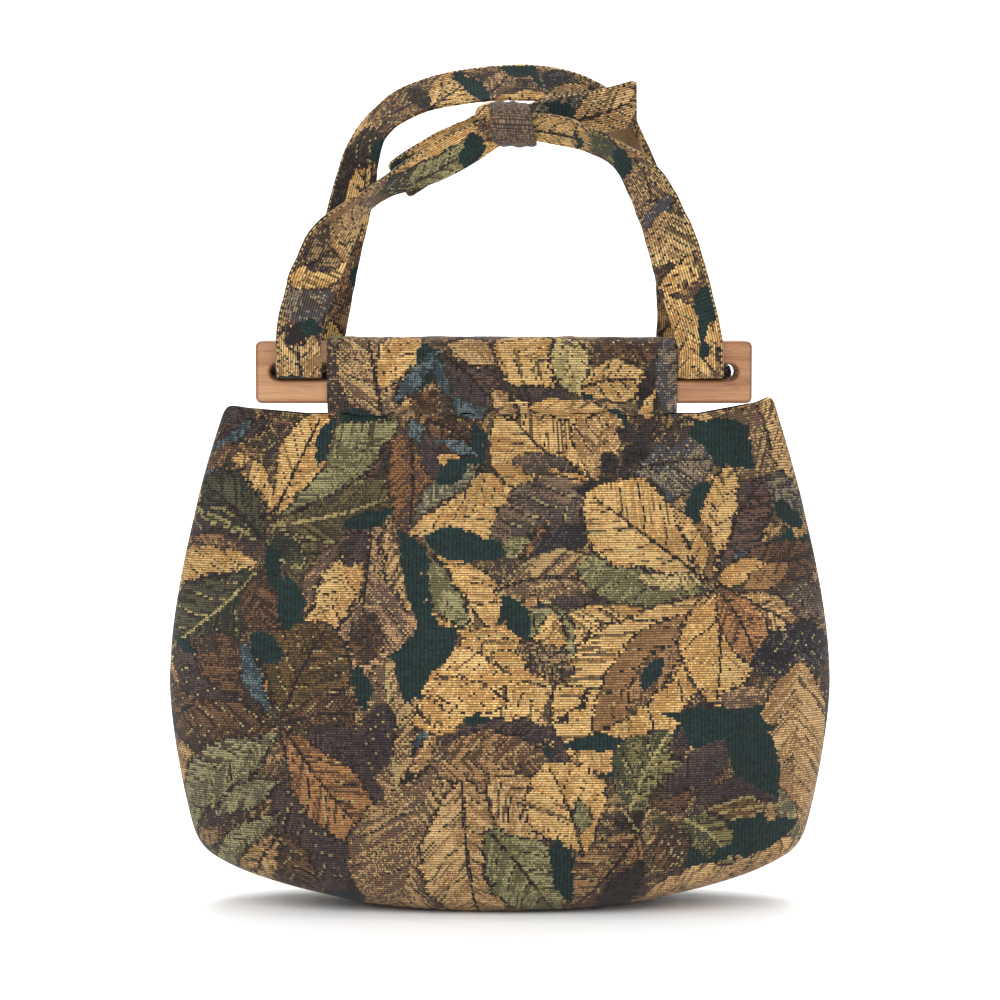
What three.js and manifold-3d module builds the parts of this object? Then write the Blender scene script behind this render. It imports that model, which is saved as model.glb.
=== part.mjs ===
// A soft tapestry handbag whose mouth is held by two slotted wooden bars, carried by one long tied strap.
// Millimetres, +Z up. The bag stands on the plane Z = 0, its front faces -Y, and the origin is the middle of
// its base.
import * as THREE from "three";
import { mergeVertices } from "three/addons/utils/BufferGeometryUtils.js";
import Module from "manifold-3d";

const wasm = await Module();
wasm.setup();

// Clearance between pieces that touch
const GAP = 0.3;

// Body: two panels of lined tapestry, sewn at the sides and along the base
const BODY_WIDTH = 333;
const BODY_DEPTH = 100;
const BODY_HEIGHT = 247;
const CLOTH = 2;
const CORNER_RISE_LEFT = 4;
const CORNER_RISE_RIGHT = 8.5;
const CORNER_ROUND = 9;
const RISE_BELOW_BAR = 0.58;

// Wooden bars
const BAR_LENGTH = 247;
const BAR_HEIGHT = 31;
const BAR_THICKNESS = 10;
const BAR_CORNER = 3;
const BAR_EASING = 1.6;
const SLOT_LENGTH = 36;
const SLOT_HEIGHT = 7.3;
const SLOT_INSET = 7.5;
const BAR_SHIFT = 2;

// Casings: the sleeves at the top of the panels that hold the bars
const CASING_WIDTH = 174;
const CASING_SHIFT = 1.2;
const CASING_WALL = 1.5;
const CASING_SEAM_HEIGHT = 4.9;
const CASING_SEAM_THICKNESS = 4;
const MOUTH_GAP = 8.6;

// Strap: one flat tape of folded tapestry, threaded through the four slots and tied in front
const STRAP_WIDTH = 22.5;
const STRAP_THICKNESS = 3;
const STRAP_PLAY = 1.5;
const STRAP_BEND = 3;
const HANDLE_RISE = 146.5;

// Knot
const KNOT_LENGTH = 21;
const KNOT_HEIGHT = 22.5;
const KNOT_DEPTH = 18;

// Mesh fineness
const BODY_ROWS = 27;
const BODY_COLUMNS = 28;
const BASE_ROWS = 2;
const STRAP_STEP = 6.2;
const BEND_STEPS = 4;

// Places that follow from the sizes
const CASING_THICKNESS = BAR_THICKNESS + 2 * GAP + 2 * CASING_WALL;
const CASING_Y = MOUTH_GAP / 2 + CASING_THICKNESS / 2;
const CASING_FLOOR = BODY_HEIGHT + GAP;
const BAR_Z = CASING_FLOOR + CASING_SEAM_HEIGHT + GAP + BAR_HEIGHT / 2;
const CASING_TOP = BAR_Z + BAR_HEIGHT / 2 + GAP + CASING_WALL;
const CASING_FACE = CASING_Y + CASING_THICKNESS / 2;
const STRAP_Z = BAR_Z - SLOT_HEIGHT / 2 + GAP + STRAP_THICKNESS / 2;
const STRAP_X = CASING_WIDTH / 2 + STRAP_PLAY + STRAP_WIDTH / 2;
const BACK_RUN_Y = CASING_FACE + GAP + STRAP_THICKNESS / 2;
const FRONT_RUN_Y = -BACK_RUN_Y;

// Level sections of the body, from its base up. up is a share of BODY_HEIGHT, wide of half BODY_WIDTH and
// deep of half BODY_DEPTH; square is the exponent of the section's superellipse.
const BODY_SECTIONS = [
  { up: 0.0, wide: 0.3, deep: 0.56, square: 2.4 },
  { up: 0.004, wide: 0.37, deep: 0.65, square: 2.3 },
  { up: 0.012, wide: 0.46, deep: 0.74, square: 2.3 },
  { up: 0.025, wide: 0.55, deep: 0.82, square: 2.3 },
  { up: 0.045, wide: 0.67, deep: 0.88, square: 2.3 },
  { up: 0.068, wide: 0.775, deep: 0.925, square: 2.3 },
  { up: 0.092, wide: 0.85, deep: 0.95, square: 2.3 },
  { up: 0.112, wide: 0.893, deep: 0.965, square: 2.3 },
  { up: 0.14, wide: 0.921, deep: 0.98, square: 2.25 },
  { up: 0.21, wide: 0.95, deep: 1.0, square: 2.2 },
  { up: 0.3, wide: 0.976, deep: 0.99, square: 2.15 },
  { up: 0.38, wide: 0.993, deep: 0.955, square: 2.1 },
  { up: 0.45, wide: 1.0, deep: 0.9, square: 2.1 },
  { up: 0.54, wide: 0.993, deep: 0.81, square: 2.1 },
  { up: 0.62, wide: 0.977, deep: 0.71, square: 2.1 },
  { up: 0.7, wide: 0.955, deep: 0.6, square: 2.15 },
  { up: 0.78, wide: 0.928, deep: 0.49, square: 2.25 },
  { up: 0.86, wide: 0.9, deep: 0.385, square: 2.4 },
  { up: 0.94, wide: 0.868, deep: 0.295, square: 2.7 },
  { up: 1.0, wide: 0.84, deep: 0.25, square: 3.0 },
];

// Hollows and swellings of the slack cloth. across is a share of half BODY_WIDTH, up of BODY_HEIGHT, reachX
// and reachZ of the same two, and sink, inwards, of BODY_DEPTH.
const FRONT_FOLDS = [
  { across: -0.62, up: 0.86, reachX: 0.16, reachZ: 0.16, sink: 0.022 },
  { across: 0.64, up: 0.84, reachX: 0.15, reachZ: 0.18, sink: 0.024 },
  { across: -0.3, up: 0.93, reachX: 0.16, reachZ: 0.04, sink: 0.012 },
  { across: 0.24, up: 0.93, reachX: 0.2, reachZ: 0.04, sink: 0.012 },
  { across: 0.03, up: 0.55, reachX: 0.3, reachZ: 0.2, sink: -0.02 },
  { across: -0.72, up: 0.16, reachX: 0.14, reachZ: 0.1, sink: 0.014 },
  { across: 0.72, up: 0.15, reachX: 0.13, reachZ: 0.1, sink: 0.016 },
];
const BACK_FOLDS = [
  { across: -0.6, up: 0.85, reachX: 0.15, reachZ: 0.17, sink: 0.024 },
  { across: 0.62, up: 0.86, reachX: 0.16, reachZ: 0.16, sink: 0.02 },
  { across: 0.0, up: 0.62, reachX: 0.32, reachZ: 0.18, sink: 0.016 },
  { across: -0.7, up: 0.17, reachX: 0.14, reachZ: 0.1, sink: 0.015 },
  { across: 0.7, up: 0.16, reachX: 0.14, reachZ: 0.1, sink: 0.014 },
];

// Runs of the strap, each from the wearer's far left to right. across is a share of STRAP_X, rise of
// HANDLE_RISE above the slots, depth of the distance from the middle to that run's place on the bars, wide of
// STRAP_WIDTH, and roll is the lean of the outer edge away from the viewer in degrees.
const FRONT_LEFT_RUN = [
  { across: -1.0, rise: 0.118, depth: 1.0, wide: 1.0, roll: 0 },
  { across: -0.985, rise: 0.19, depth: 1.0, wide: 1.03, roll: 0 },
  { across: -0.945, rise: 0.285, depth: 0.99, wide: 1.06, roll: 0 },
  { across: -0.895, rise: 0.375, depth: 0.97, wide: 1.08, roll: -8 },
  { across: -0.84, rise: 0.455, depth: 0.94, wide: 1.1, roll: -22 },
  { across: -0.765, rise: 0.525, depth: 0.9, wide: 1.02, roll: -46 },
  { across: -0.665, rise: 0.592, depth: 0.87, wide: 0.8, roll: -62 },
  { across: -0.575, rise: 0.634, depth: 0.85, wide: 0.74, roll: -58 },
  { across: -0.474, rise: 0.669, depth: 0.84, wide: 0.78, roll: -42 },
  { across: -0.354, rise: 0.707, depth: 0.84, wide: 0.84, roll: -24 },
  { across: -0.229, rise: 0.752, depth: 0.82, wide: 0.86, roll: -14 },
  { across: -0.105, rise: 0.798, depth: 0.74, wide: 0.78, roll: -8 },
  { across: 0.0, rise: 0.832, depth: 0.6, wide: 0.6, roll: 0 },
];
const FRONT_RIGHT_RUN = [
  { across: 0.1, rise: 0.842, depth: 0.6, wide: 0.55, roll: -20 },
  { across: 0.209, rise: 0.838, depth: 0.76, wide: 0.7, roll: -34 },
  { across: 0.329, rise: 0.823, depth: 0.86, wide: 0.8, roll: -42 },
  { across: 0.449, rise: 0.795, depth: 0.88, wide: 0.76, roll: -50 },
  { across: 0.57, rise: 0.757, depth: 0.88, wide: 0.76, roll: -50 },
  { across: 0.658, rise: 0.71, depth: 0.89, wide: 0.84, roll: -34 },
  { across: 0.722, rise: 0.652, depth: 0.9, wide: 0.92, roll: -14 },
  { across: 0.775, rise: 0.583, depth: 0.92, wide: 1.0, roll: -4 },
  { across: 0.835, rise: 0.487, depth: 0.95, wide: 1.1, roll: 0 },
  { across: 0.882, rise: 0.385, depth: 0.97, wide: 1.14, roll: 0 },
  { across: 0.925, rise: 0.285, depth: 0.99, wide: 1.12, roll: 0 },
  { across: 0.968, rise: 0.19, depth: 1.0, wide: 1.06, roll: 0 },
  { across: 1.0, rise: 0.105, depth: 1.0, wide: 1.0, roll: 0 },
];
const BACK_RUN = [
  { across: -0.905, rise: 0.118, depth: 1.0, wide: 1.0, roll: 0 },
  { across: -0.878, rise: 0.214, depth: 0.98, wide: 1.0, roll: 0 },
  { across: -0.848, rise: 0.316, depth: 0.93, wide: 1.0, roll: 0 },
  { across: -0.818, rise: 0.415, depth: 0.86, wide: 1.0, roll: 2 },
  { across: -0.778, rise: 0.525, depth: 0.8, wide: 0.99, roll: 5 },
  { across: -0.733, rise: 0.651, depth: 0.74, wide: 0.96, roll: 10 },
  { across: -0.69, rise: 0.762, depth: 0.68, wide: 0.9, roll: 24 },
  { across: -0.632, rise: 0.842, depth: 0.64, wide: 0.86, roll: 38 },
  { across: -0.524, rise: 0.91, depth: 0.62, wide: 0.88, roll: 36 },
  { across: -0.354, rise: 0.961, depth: 0.62, wide: 0.94, roll: 36 },
  { across: -0.155, rise: 0.988, depth: 0.64, wide: 0.98, roll: 36 },
  { across: 0.045, rise: 1.0, depth: 0.66, wide: 1.0, roll: 36 },
  { across: 0.244, rise: 0.994, depth: 0.68, wide: 1.0, roll: 34 },
  { across: 0.419, rise: 0.952, depth: 0.7, wide: 0.98, roll: 20 },
  { across: 0.562, rise: 0.874, depth: 0.72, wide: 0.96, roll: -12 },
  { across: 0.668, rise: 0.772, depth: 0.74, wide: 0.98, roll: -44 },
  { across: 0.752, rise: 0.656, depth: 0.77, wide: 1.0, roll: -52 },
  { across: 0.835, rise: 0.52, depth: 0.82, wide: 1.0, roll: -40 },
  { across: 0.888, rise: 0.392, depth: 0.88, wide: 1.0, roll: -20 },
  { across: 0.91, rise: 0.256, depth: 0.95, wide: 1.0, roll: -6 },
  { across: 0.908, rise: 0.118, depth: 1.0, wide: 1.0, roll: 0 },
];
const LEFT_TAIL = [
  { across: -0.51, rise: 0.66, depth: 0.24, wide: 0.92, roll: 4 },
  { across: -0.4, rise: 0.711, depth: 0.24, wide: 0.92, roll: 4 },
  { across: -0.28, rise: 0.762, depth: 0.24, wide: 0.9, roll: 4 },
  { across: -0.165, rise: 0.808, depth: 0.26, wide: 0.8, roll: 4 },
  { across: -0.07, rise: 0.846, depth: 0.3, wide: 0.66, roll: 2 },
  { across: 0.02, rise: 0.862, depth: 0.38, wide: 0.5, roll: 0 },
];
const RIGHT_TAIL = [
  { across: 0.1, rise: 0.872, depth: 0.36, wide: 0.5, roll: 0 },
  { across: 0.19, rise: 0.882, depth: 0.28, wide: 0.66, roll: 0 },
  { across: 0.3, rise: 0.888, depth: 0.2, wide: 0.84, roll: 0 },
  { across: 0.42, rise: 0.892, depth: 0.18, wide: 0.94, roll: 0 },
  { across: 0.55, rise: 0.904, depth: 0.18, wide: 0.98, roll: 0 },
  { across: 0.685, rise: 0.927, depth: 0.18, wide: 1.0, roll: 0 },
];

// Upright sections of the knot, from left to right. along is a share of KNOT_LENGTH from its middle, tall of
// half KNOT_HEIGHT, deep of half KNOT_DEPTH, and lift of KNOT_HEIGHT.
const KNOT_PLACE = { across: 0.06, rise: 0.852, depth: 0.52 };
const KNOT_SECTIONS = [
  { along: -0.5, tall: 0.78, deep: 0.62, lift: -0.02 },
  { along: -0.44, tall: 0.93, deep: 0.86, lift: -0.02 },
  { along: -0.25, tall: 1.0, deep: 1.0, lift: 0.0 },
  { along: 0.0, tall: 1.0, deep: 1.0, lift: 0.01 },
  { along: 0.25, tall: 0.96, deep: 0.97, lift: 0.0 },
  { along: 0.44, tall: 0.84, deep: 0.84, lift: -0.01 },
  { along: 0.5, tall: 0.7, deep: 0.6, lift: -0.01 },
];
const KNOT_SIDES = 18;
const KNOT_SQUARE = 3.2;

const TAPESTRY = new THREE.MeshStandardMaterial({ color: 0x8a6f45, roughness: 0.95, metalness: 0 });
const WOOD = new THREE.MeshStandardMaterial({ color: 0xa8734e, roughness: 0.5, metalness: 0 });

// A closed geometry as a solid that can be cut and joined.
function solidOf(geometry) {
  const bare = geometry.index ? geometry.toNonIndexed() : geometry.clone();
  bare.deleteAttribute("normal");
  bare.deleteAttribute("uv");
  const merged = mergeVertices(bare, 1e-4);
  const triVerts = [];
  const index = merged.index.array;
  for (let i = 0; i < index.length; i += 3) {
    const [a, b, c] = [index[i], index[i + 1], index[i + 2]];
    if (a !== b && b !== c && c !== a) triVerts.push(a, b, c);
  }
  return new wasm.Manifold(
    new wasm.Mesh({
      numProp: 3,
      vertProperties: new Float32Array(merged.getAttribute("position").array),
      triVerts: new Uint32Array(triVerts),
    }),
  );
}

// A cut or joined solid as a geometry again.
function geometryOf(solid) {
  const mesh = solid.getMesh();
  const corners = [];
  for (let v = 0; v < mesh.vertProperties.length; v += mesh.numProp) {
    corners.push(mesh.vertProperties[v], mesh.vertProperties[v + 1], mesh.vertProperties[v + 2]);
  }
  const geometry = new THREE.BufferGeometry();
  geometry.setAttribute("position", new THREE.Float32BufferAttribute(corners, 3));
  geometry.setIndex([...mesh.triVerts]);
  geometry.computeVertexNormals();
  return geometry;
}

// The triangles between two rows of points of equal length.
function strip(rowA, rowB, triangles) {
  for (let j = 0; j + 1 < rowA.length; j += 1) {
    triangles.push(rowA[j], rowB[j], rowA[j + 1], rowA[j + 1], rowB[j], rowB[j + 1]);
  }
}

// A geometry from a list of triangle corners.
function geometryFrom(corners) {
  const geometry = new THREE.BufferGeometry();
  geometry.setAttribute(
    "position",
    new THREE.Float32BufferAttribute(corners.flatMap((p) => [p.x, p.y, p.z]), 3),
  );
  return geometry;
}

// A solid through closed sections of equally many points, given in order and turning the same way.
function loft(sections) {
  const triangles = [];
  for (let i = 0; i + 1 < sections.length; i += 1) {
    strip([...sections[i], sections[i][0]], [...sections[i + 1], sections[i + 1][0]], triangles);
  }
  const first = sections[0];
  const last = sections[sections.length - 1];
  for (let j = 1; j + 1 < first.length; j += 1) {
    triangles.push(first[0], first[j], first[j + 1]);
    triangles.push(last[0], last[j + 1], last[j]);
  }
  let solid = solidOf(geometryFrom(triangles));
  if (solid.volume() < 0) solid = solidOf(geometryFrom(triangles.reverse()));
  return solid;
}

function smoothstep(low, high, value) {
  return THREE.MathUtils.smoothstep(value, low, high);
}

// How far the mouth's edge rises above the casing's foot towards each corner, and dips at the corner itself.
function mouthRise(x, halfWidth) {
  const rise = x < 0 ? CORNER_RISE_LEFT : CORNER_RISE_RIGHT;
  const fromCorner = halfWidth - Math.abs(x);
  const barEnd = BAR_LENGTH / 2 + Math.sign(x) * BAR_SHIFT + GAP;
  const start = CASING_WIDTH / 2 + Math.sign(x) * CASING_SHIFT + BODY_WIDTH / BODY_COLUMNS;
  const underBar = THREE.MathUtils.clamp((Math.abs(x) - start) / (barEnd - start), 0, 1);
  const pastBar = smoothstep(barEnd, halfWidth - CORNER_ROUND / 2, Math.abs(x));
  const climb = RISE_BELOW_BAR * underBar + (1 - RISE_BELOW_BAR) * pastBar;
  const dip = Math.max(0, 1 - fromCorner / CORNER_ROUND) ** 2;
  return rise * climb - (rise + CORNER_ROUND / 2) * dip;
}

function foldDepth(x, z, folds) {
  let depth = 0;
  for (const fold of folds) {
    const dx = (x - (fold.across * BODY_WIDTH) / 2) / ((fold.reachX * BODY_WIDTH) / 2);
    const dz = (z - fold.up * BODY_HEIGHT) / (fold.reachZ * BODY_HEIGHT);
    depth += fold.sink * BODY_DEPTH * Math.exp(-dx * dx - dz * dz);
  }
  return depth;
}

// The outer face of one panel as rows of points from the mouth down and then under the base to its seam.
// side is -1 for the front and 1 for the back.
function panelFace(side, folds) {
  const profile = new THREE.CatmullRomCurve3(
    BODY_SECTIONS.map((s) => new THREE.Vector3(s.wide, s.deep, s.up)),
    false,
    "centripetal",
  );
  const rows = [];
  for (let i = 0; i < BODY_ROWS; i += 1) {
    const t = 1 - i / (BODY_ROWS - 1);
    const share = profile.getPoint(t);
    const place = t * (BODY_SECTIONS.length - 1);
    const below = BODY_SECTIONS[Math.floor(place)];
    const above = BODY_SECTIONS[Math.min(Math.floor(place) + 1, BODY_SECTIONS.length - 1)];
    const square = THREE.MathUtils.lerp(below.square, above.square, place % 1);
    rows.push(panelRow(side, folds, share, square));
  }
  const sole = rows[rows.length - 1];
  for (let k = 1; k <= BASE_ROWS; k += 1) {
    rows.push(sole.map((p) => new THREE.Vector3(p.x, seamSide(side, p.y * (1 - k / BASE_ROWS)), p.z)));
  }
  return rows;
}

// A point's Y, kept on its own side of the seam between the panels.
function seamSide(side, y) {
  return side * Math.max(side * y, GAP / 2);
}

function panelRow(side, folds, share, square) {
  const halfWidth = (share.x * BODY_WIDTH) / 2;
  const halfDepth = (share.y * BODY_DEPTH) / 2;
  const height = share.z * BODY_HEIGHT;
  const row = [];
  for (let j = 0; j <= BODY_COLUMNS; j += 1) {
    const angle = (Math.PI * j) / BODY_COLUMNS;
    const along = -Math.sign(Math.cos(angle)) * Math.abs(Math.cos(angle)) ** (2 / square);
    const out = Math.max(0, Math.sin(angle)) ** (2 / square);
    const x = halfWidth * along;
    const z = height + mouthRise(x, halfWidth) * smoothstep(0.8, 1, share.z);
    const sink = foldDepth(x, height, folds) * Math.min(1, 2 * out);
    row.push(new THREE.Vector3(x, seamSide(side, side * (halfDepth * out - sink)), Math.max(0, z)));
  }
  return row;
}

// The average outward direction at each point of a grid of rows.
function gridNormals(rows, side) {
  return rows.map((row, i) =>
    row.map((_, j) => {
      const up = rows[Math.max(i - 1, 0)][j];
      const down = rows[Math.min(i + 1, rows.length - 1)][j];
      const left = row[Math.max(j - 1, 0)];
      const right = row[Math.min(j + 1, row.length - 1)];
      const fall = new THREE.Vector3().subVectors(down, up);
      const run = new THREE.Vector3().subVectors(right, left);
      const normal = new THREE.Vector3().crossVectors(run, fall).multiplyScalar(side);
      const onSideSeam = j === 0 || j === row.length - 1;
      if (onSideSeam) {
        const outwards = Math.sign(row[j].x);
        normal.set(-outwards * fall.z, 0, outwards * fall.x);
        if (normal.lengthSq() < 1e-6) normal.set(0, 0, -1);
      }
      return normal.normalize();
    }),
  );
}

function panelGeometry(side, folds) {
  const outer = panelFace(side, folds);
  const normals = gridNormals(outer, side);
  const lastRow = outer.length - 1;
  const inner = outer.map((row, i) =>
    row.map((p, j) => {
      const q = p.clone().addScaledVector(normals[i][j], -CLOTH);
      q.y = j === 0 || j === row.length - 1 || i === lastRow ? p.y : seamSide(side, q.y);
      return q;
    }),
  );
  const triangles = [];
  for (let i = 0; i < lastRow; i += 1) {
    strip(outer[i], outer[i + 1], triangles);
    strip(inner[i + 1], inner[i], triangles);
  }
  strip(inner[0], outer[0], triangles);
  strip(outer[lastRow], inner[lastRow], triangles);
  const columns = BODY_COLUMNS;
  strip(outer.map((row) => row[0]), inner.map((row) => row[0]), triangles);
  strip(inner.map((row) => row[columns]), outer.map((row) => row[columns]), triangles);
  if (side > 0) triangles.reverse();
  return geometryOf(solidOf(geometryFrom(triangles)));
}

// A rectangle with round corners, as a path or a shape centred on a point.
function roundedRectangle(path, centreX, centreY, width, height, radius) {
  const [left, right] = [centreX - width / 2, centreX + width / 2];
  const [low, high] = [centreY - height / 2, centreY + height / 2];
  path.moveTo(left + radius, low);
  path.lineTo(right - radius, low);
  path.absarc(right - radius, low + radius, radius, -Math.PI / 2, 0);
  path.lineTo(right, high - radius);
  path.absarc(right - radius, high - radius, radius, 0, Math.PI / 2);
  path.lineTo(left + radius, high);
  path.absarc(left + radius, high - radius, radius, Math.PI / 2, Math.PI);
  path.lineTo(left, low + radius);
  path.absarc(left + radius, low + radius, radius, Math.PI, 1.5 * Math.PI);
  return path;
}

// A flat board with eased edges and a round-ended slot near each end, standing in the plane of X and Z.
function barGeometry() {
  const outline = roundedRectangle(new THREE.Shape(), 0, 0, BAR_LENGTH, BAR_HEIGHT, BAR_CORNER);
  const board = new THREE.ExtrudeGeometry(outline, {
    depth: BAR_THICKNESS - 2 * BAR_EASING,
    bevelThickness: BAR_EASING,
    bevelSize: BAR_EASING,
    bevelOffset: -BAR_EASING,
    bevelSegments: 2,
    curveSegments: 4,
  });
  board.translate(0, 0, -(BAR_THICKNESS / 2 - BAR_EASING));
  const slotRadius = SLOT_HEIGHT / 2;
  let solid = solidOf(board);
  for (const side of [-1, 1]) {
    const slotX = side * (BAR_LENGTH / 2 - SLOT_INSET - SLOT_LENGTH / 2);
    const slot = roundedRectangle(new THREE.Shape(), slotX, 0, SLOT_LENGTH, SLOT_HEIGHT, slotRadius * 0.999);
    const cutter = new THREE.ExtrudeGeometry(slot, {
      depth: 2 * BAR_THICKNESS,
      bevelEnabled: false,
      curveSegments: 5,
    });
    cutter.translate(0, 0, -BAR_THICKNESS);
    solid = solid.subtract(solidOf(cutter));
  }
  return geometryOf(solid).rotateX(Math.PI / 2);
}

// The sleeve round one bar: a loop of cloth whose two layers meet in a seam under the bar.
function casingGeometry() {
  const half = CASING_THICKNESS / 2;
  const shoulder = CASING_FLOOR + CASING_SEAM_HEIGHT - CASING_WALL;
  const round = half * 0.8;
  const loop = new THREE.Shape();
  loop.moveTo(-CASING_SEAM_THICKNESS / 2, CASING_FLOOR);
  loop.lineTo(CASING_SEAM_THICKNESS / 2, CASING_FLOOR);
  loop.quadraticCurveTo(half, shoulder, half, shoulder + half);
  loop.lineTo(half, CASING_TOP - round);
  loop.absarc(half - round, CASING_TOP - round, round, 0, Math.PI / 2);
  loop.lineTo(round - half, CASING_TOP);
  loop.absarc(round - half, CASING_TOP - round, round, Math.PI / 2, Math.PI);
  loop.lineTo(-half, shoulder + half);
  loop.quadraticCurveTo(-half, shoulder, -CASING_SEAM_THICKNESS / 2, CASING_FLOOR);
  const pocket = roundedRectangle(
    new THREE.Shape(), 0, BAR_Z, BAR_THICKNESS + 2 * GAP, BAR_HEIGHT + 2 * GAP, BAR_EASING,
  );
  const settings = { bevelEnabled: false, curveSegments: 4 };
  const sleeve = new THREE.ExtrudeGeometry(loop, { depth: CASING_WIDTH, ...settings });
  const hollow = new THREE.ExtrudeGeometry(pocket, { depth: 2 * CASING_WIDTH, ...settings });
  sleeve.translate(0, 0, -CASING_WIDTH / 2);
  hollow.translate(0, 0, -CASING_WIDTH);
  const geometry = geometryOf(solidOf(sleeve).subtract(solidOf(hollow)));
  return geometry.rotateX(Math.PI / 2).rotateZ(Math.PI / 2);
}

// The middle line of a run of strap, with its width and the direction from its inner to its outer edge.
function runStations(table, faceY) {
  const points = table.map(
    (s) => new THREE.Vector3(s.across * STRAP_X, s.depth * faceY, STRAP_Z + s.rise * HANDLE_RISE),
  );
  const curve = new THREE.CatmullRomCurve3(points, false, "centripetal");
  const shape = new THREE.CatmullRomCurve3(
    table.map((s) => new THREE.Vector3(s.wide, s.roll, 0)), false, "centripetal",
  );
  const count = Math.round(curve.getLength() / STRAP_STEP);
  const stations = [];
  for (let k = 0; k <= count; k += 1) {
    const t = curve.getUtoTmapping(k / count);
    const { x: wide, y: roll } = shape.getPoint(t);
    const tangent = curve.getTangent(t);
    const level = new THREE.Vector3(tangent.x, 0, tangent.z).normalize();
    const outwards = new THREE.Vector3(-level.z, 0, level.x);
    const lean = THREE.MathUtils.degToRad(roll);
    const edge = outwards.multiplyScalar(Math.cos(lean));
    edge.y = Math.sin(lean);
    edge.addScaledVector(tangent, -edge.dot(tangent)).normalize();
    stations.push({ point: curve.getPoint(t), tangent, edge, width: wide * STRAP_WIDTH });
  }
  return stations;
}

// The strap's way through a slot: level from the middle of the bag, then round a bend and upwards.
// side is -1 at the left slot and 1 at the right one.
function slotStations(side, faceY) {
  const facing = Math.sign(faceY);
  const edge = new THREE.Vector3(side, 0, 0);
  const stations = [];
  const add = (y, z, ty, tz) =>
    stations.push({
      point: new THREE.Vector3(side * STRAP_X, y, z),
      tangent: new THREE.Vector3(0, ty, tz),
      edge,
      width: STRAP_WIDTH,
    });
  add((facing * GAP) / 2, STRAP_Z, facing, 0);
  const bendStart = faceY - facing * STRAP_BEND;
  for (let k = 0; k <= BEND_STEPS; k += 1) {
    const angle = ((Math.PI / 2) * k) / BEND_STEPS;
    const y = bendStart + facing * STRAP_BEND * Math.sin(angle);
    const z = STRAP_Z + STRAP_BEND * (1 - Math.cos(angle));
    add(y, z, facing * Math.cos(angle), Math.sin(angle));
  }
  return stations;
}

// The same stations walked the other way.
function reversed(stations) {
  return [...stations].reverse().map((s) => ({ ...s, tangent: s.tangent.clone().negate() }));
}

// A flat tape with eased edges through a list of stations.
function tape(stations) {
  const half = STRAP_THICKNESS / 2;
  const ease = STRAP_THICKNESS / 3;
  const sections = stations.map(({ point, tangent, edge, width }) => {
    const face = new THREE.Vector3().crossVectors(tangent, edge).normalize();
    const side = width / 2;
    const outline = [
      [side, half - ease], [side - ease, half], [ease - side, half], [-side, half - ease],
      [-side, ease - half], [ease - side, -half], [side - ease, -half], [side, ease - half],
    ];
    return outline.map(([a, b]) => point.clone().addScaledVector(edge, a).addScaledVector(face, b));
  });
  return loft(sections);
}

// The knot, or the room it takes when grown by a clearance.
function knotSolid(clearance) {
  const middle = new THREE.Vector3(
    KNOT_PLACE.across * STRAP_X,
    KNOT_PLACE.depth * FRONT_RUN_Y,
    STRAP_Z + KNOT_PLACE.rise * HANDLE_RISE,
  );
  const sections = KNOT_SECTIONS.map((s) => {
    const x = middle.x + s.along * (KNOT_LENGTH + 2 * clearance);
    const section = [];
    for (let k = 0; k < KNOT_SIDES; k += 1) {
      const angle = (2 * Math.PI * k) / KNOT_SIDES;
      const [c, d] = [Math.cos(angle), Math.sin(angle)];
      const y = Math.sign(c) * Math.abs(c) ** (2 / KNOT_SQUARE) * ((s.deep * KNOT_DEPTH) / 2 + clearance);
      const z = Math.sign(d) * Math.abs(d) ** (2 / KNOT_SQUARE) * ((s.tall * KNOT_HEIGHT) / 2 + clearance);
      section.push(new THREE.Vector3(x, middle.y + y, middle.z + z + s.lift * KNOT_HEIGHT));
    }
    return section;
  });
  return loft(sections);
}

const bag = new THREE.Group();

function addPiece(name, geometry, material, x = 0, y = 0, z = 0) {
  const mesh = new THREE.Mesh(geometry, material);
  mesh.name = name;
  mesh.position.set(x, y, z);
  bag.add(mesh);
}

// Body and wooden frame
addPiece("front_panel", panelGeometry(-1, FRONT_FOLDS), TAPESTRY);
addPiece("back_panel", panelGeometry(1, BACK_FOLDS), TAPESTRY);
for (const [name, side] of [["front", -1], ["back", 1]]) {
  addPiece(`${name}_casing`, casingGeometry(), TAPESTRY, CASING_SHIFT, side * CASING_Y, 0);
  addPiece(`${name}_bar`, barGeometry(), WOOD, BAR_SHIFT, side * CASING_Y, BAR_Z);
}

// Strap: the back run passes through the back bar's slots, the front runs through the front bar's, and they
// meet between the bars. The front runs and the tails end in the knot.
const knotRoom = knotSolid(GAP);
const backStrap = tape([
  ...slotStations(-1, BACK_RUN_Y),
  ...runStations(BACK_RUN, BACK_RUN_Y),
  ...reversed(slotStations(1, BACK_RUN_Y)),
]);
const leftStrap = tape([...slotStations(-1, FRONT_RUN_Y), ...runStations(FRONT_LEFT_RUN, FRONT_RUN_Y)]);
const rightStrap = tape([
  ...runStations(FRONT_RIGHT_RUN, FRONT_RUN_Y),
  ...reversed(slotStations(1, FRONT_RUN_Y)),
]);
const leftTail = tape(runStations(LEFT_TAIL, FRONT_RUN_Y));
const rightTail = tape(runStations(RIGHT_TAIL, FRONT_RUN_Y));
addPiece("strap_back", geometryOf(backStrap), TAPESTRY);
addPiece("strap_front_left", geometryOf(leftStrap.subtract(knotRoom)), TAPESTRY);
addPiece("strap_front_right", geometryOf(rightStrap.subtract(knotRoom)), TAPESTRY);
addPiece("strap_tail_left", geometryOf(leftTail.subtract(knotRoom)), TAPESTRY);
addPiece("strap_tail_right", geometryOf(rightTail.subtract(knotRoom)), TAPESTRY);
addPiece("strap_knot", geometryOf(knotSolid(0)), TAPESTRY);

export default bag;
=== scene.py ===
import math

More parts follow.
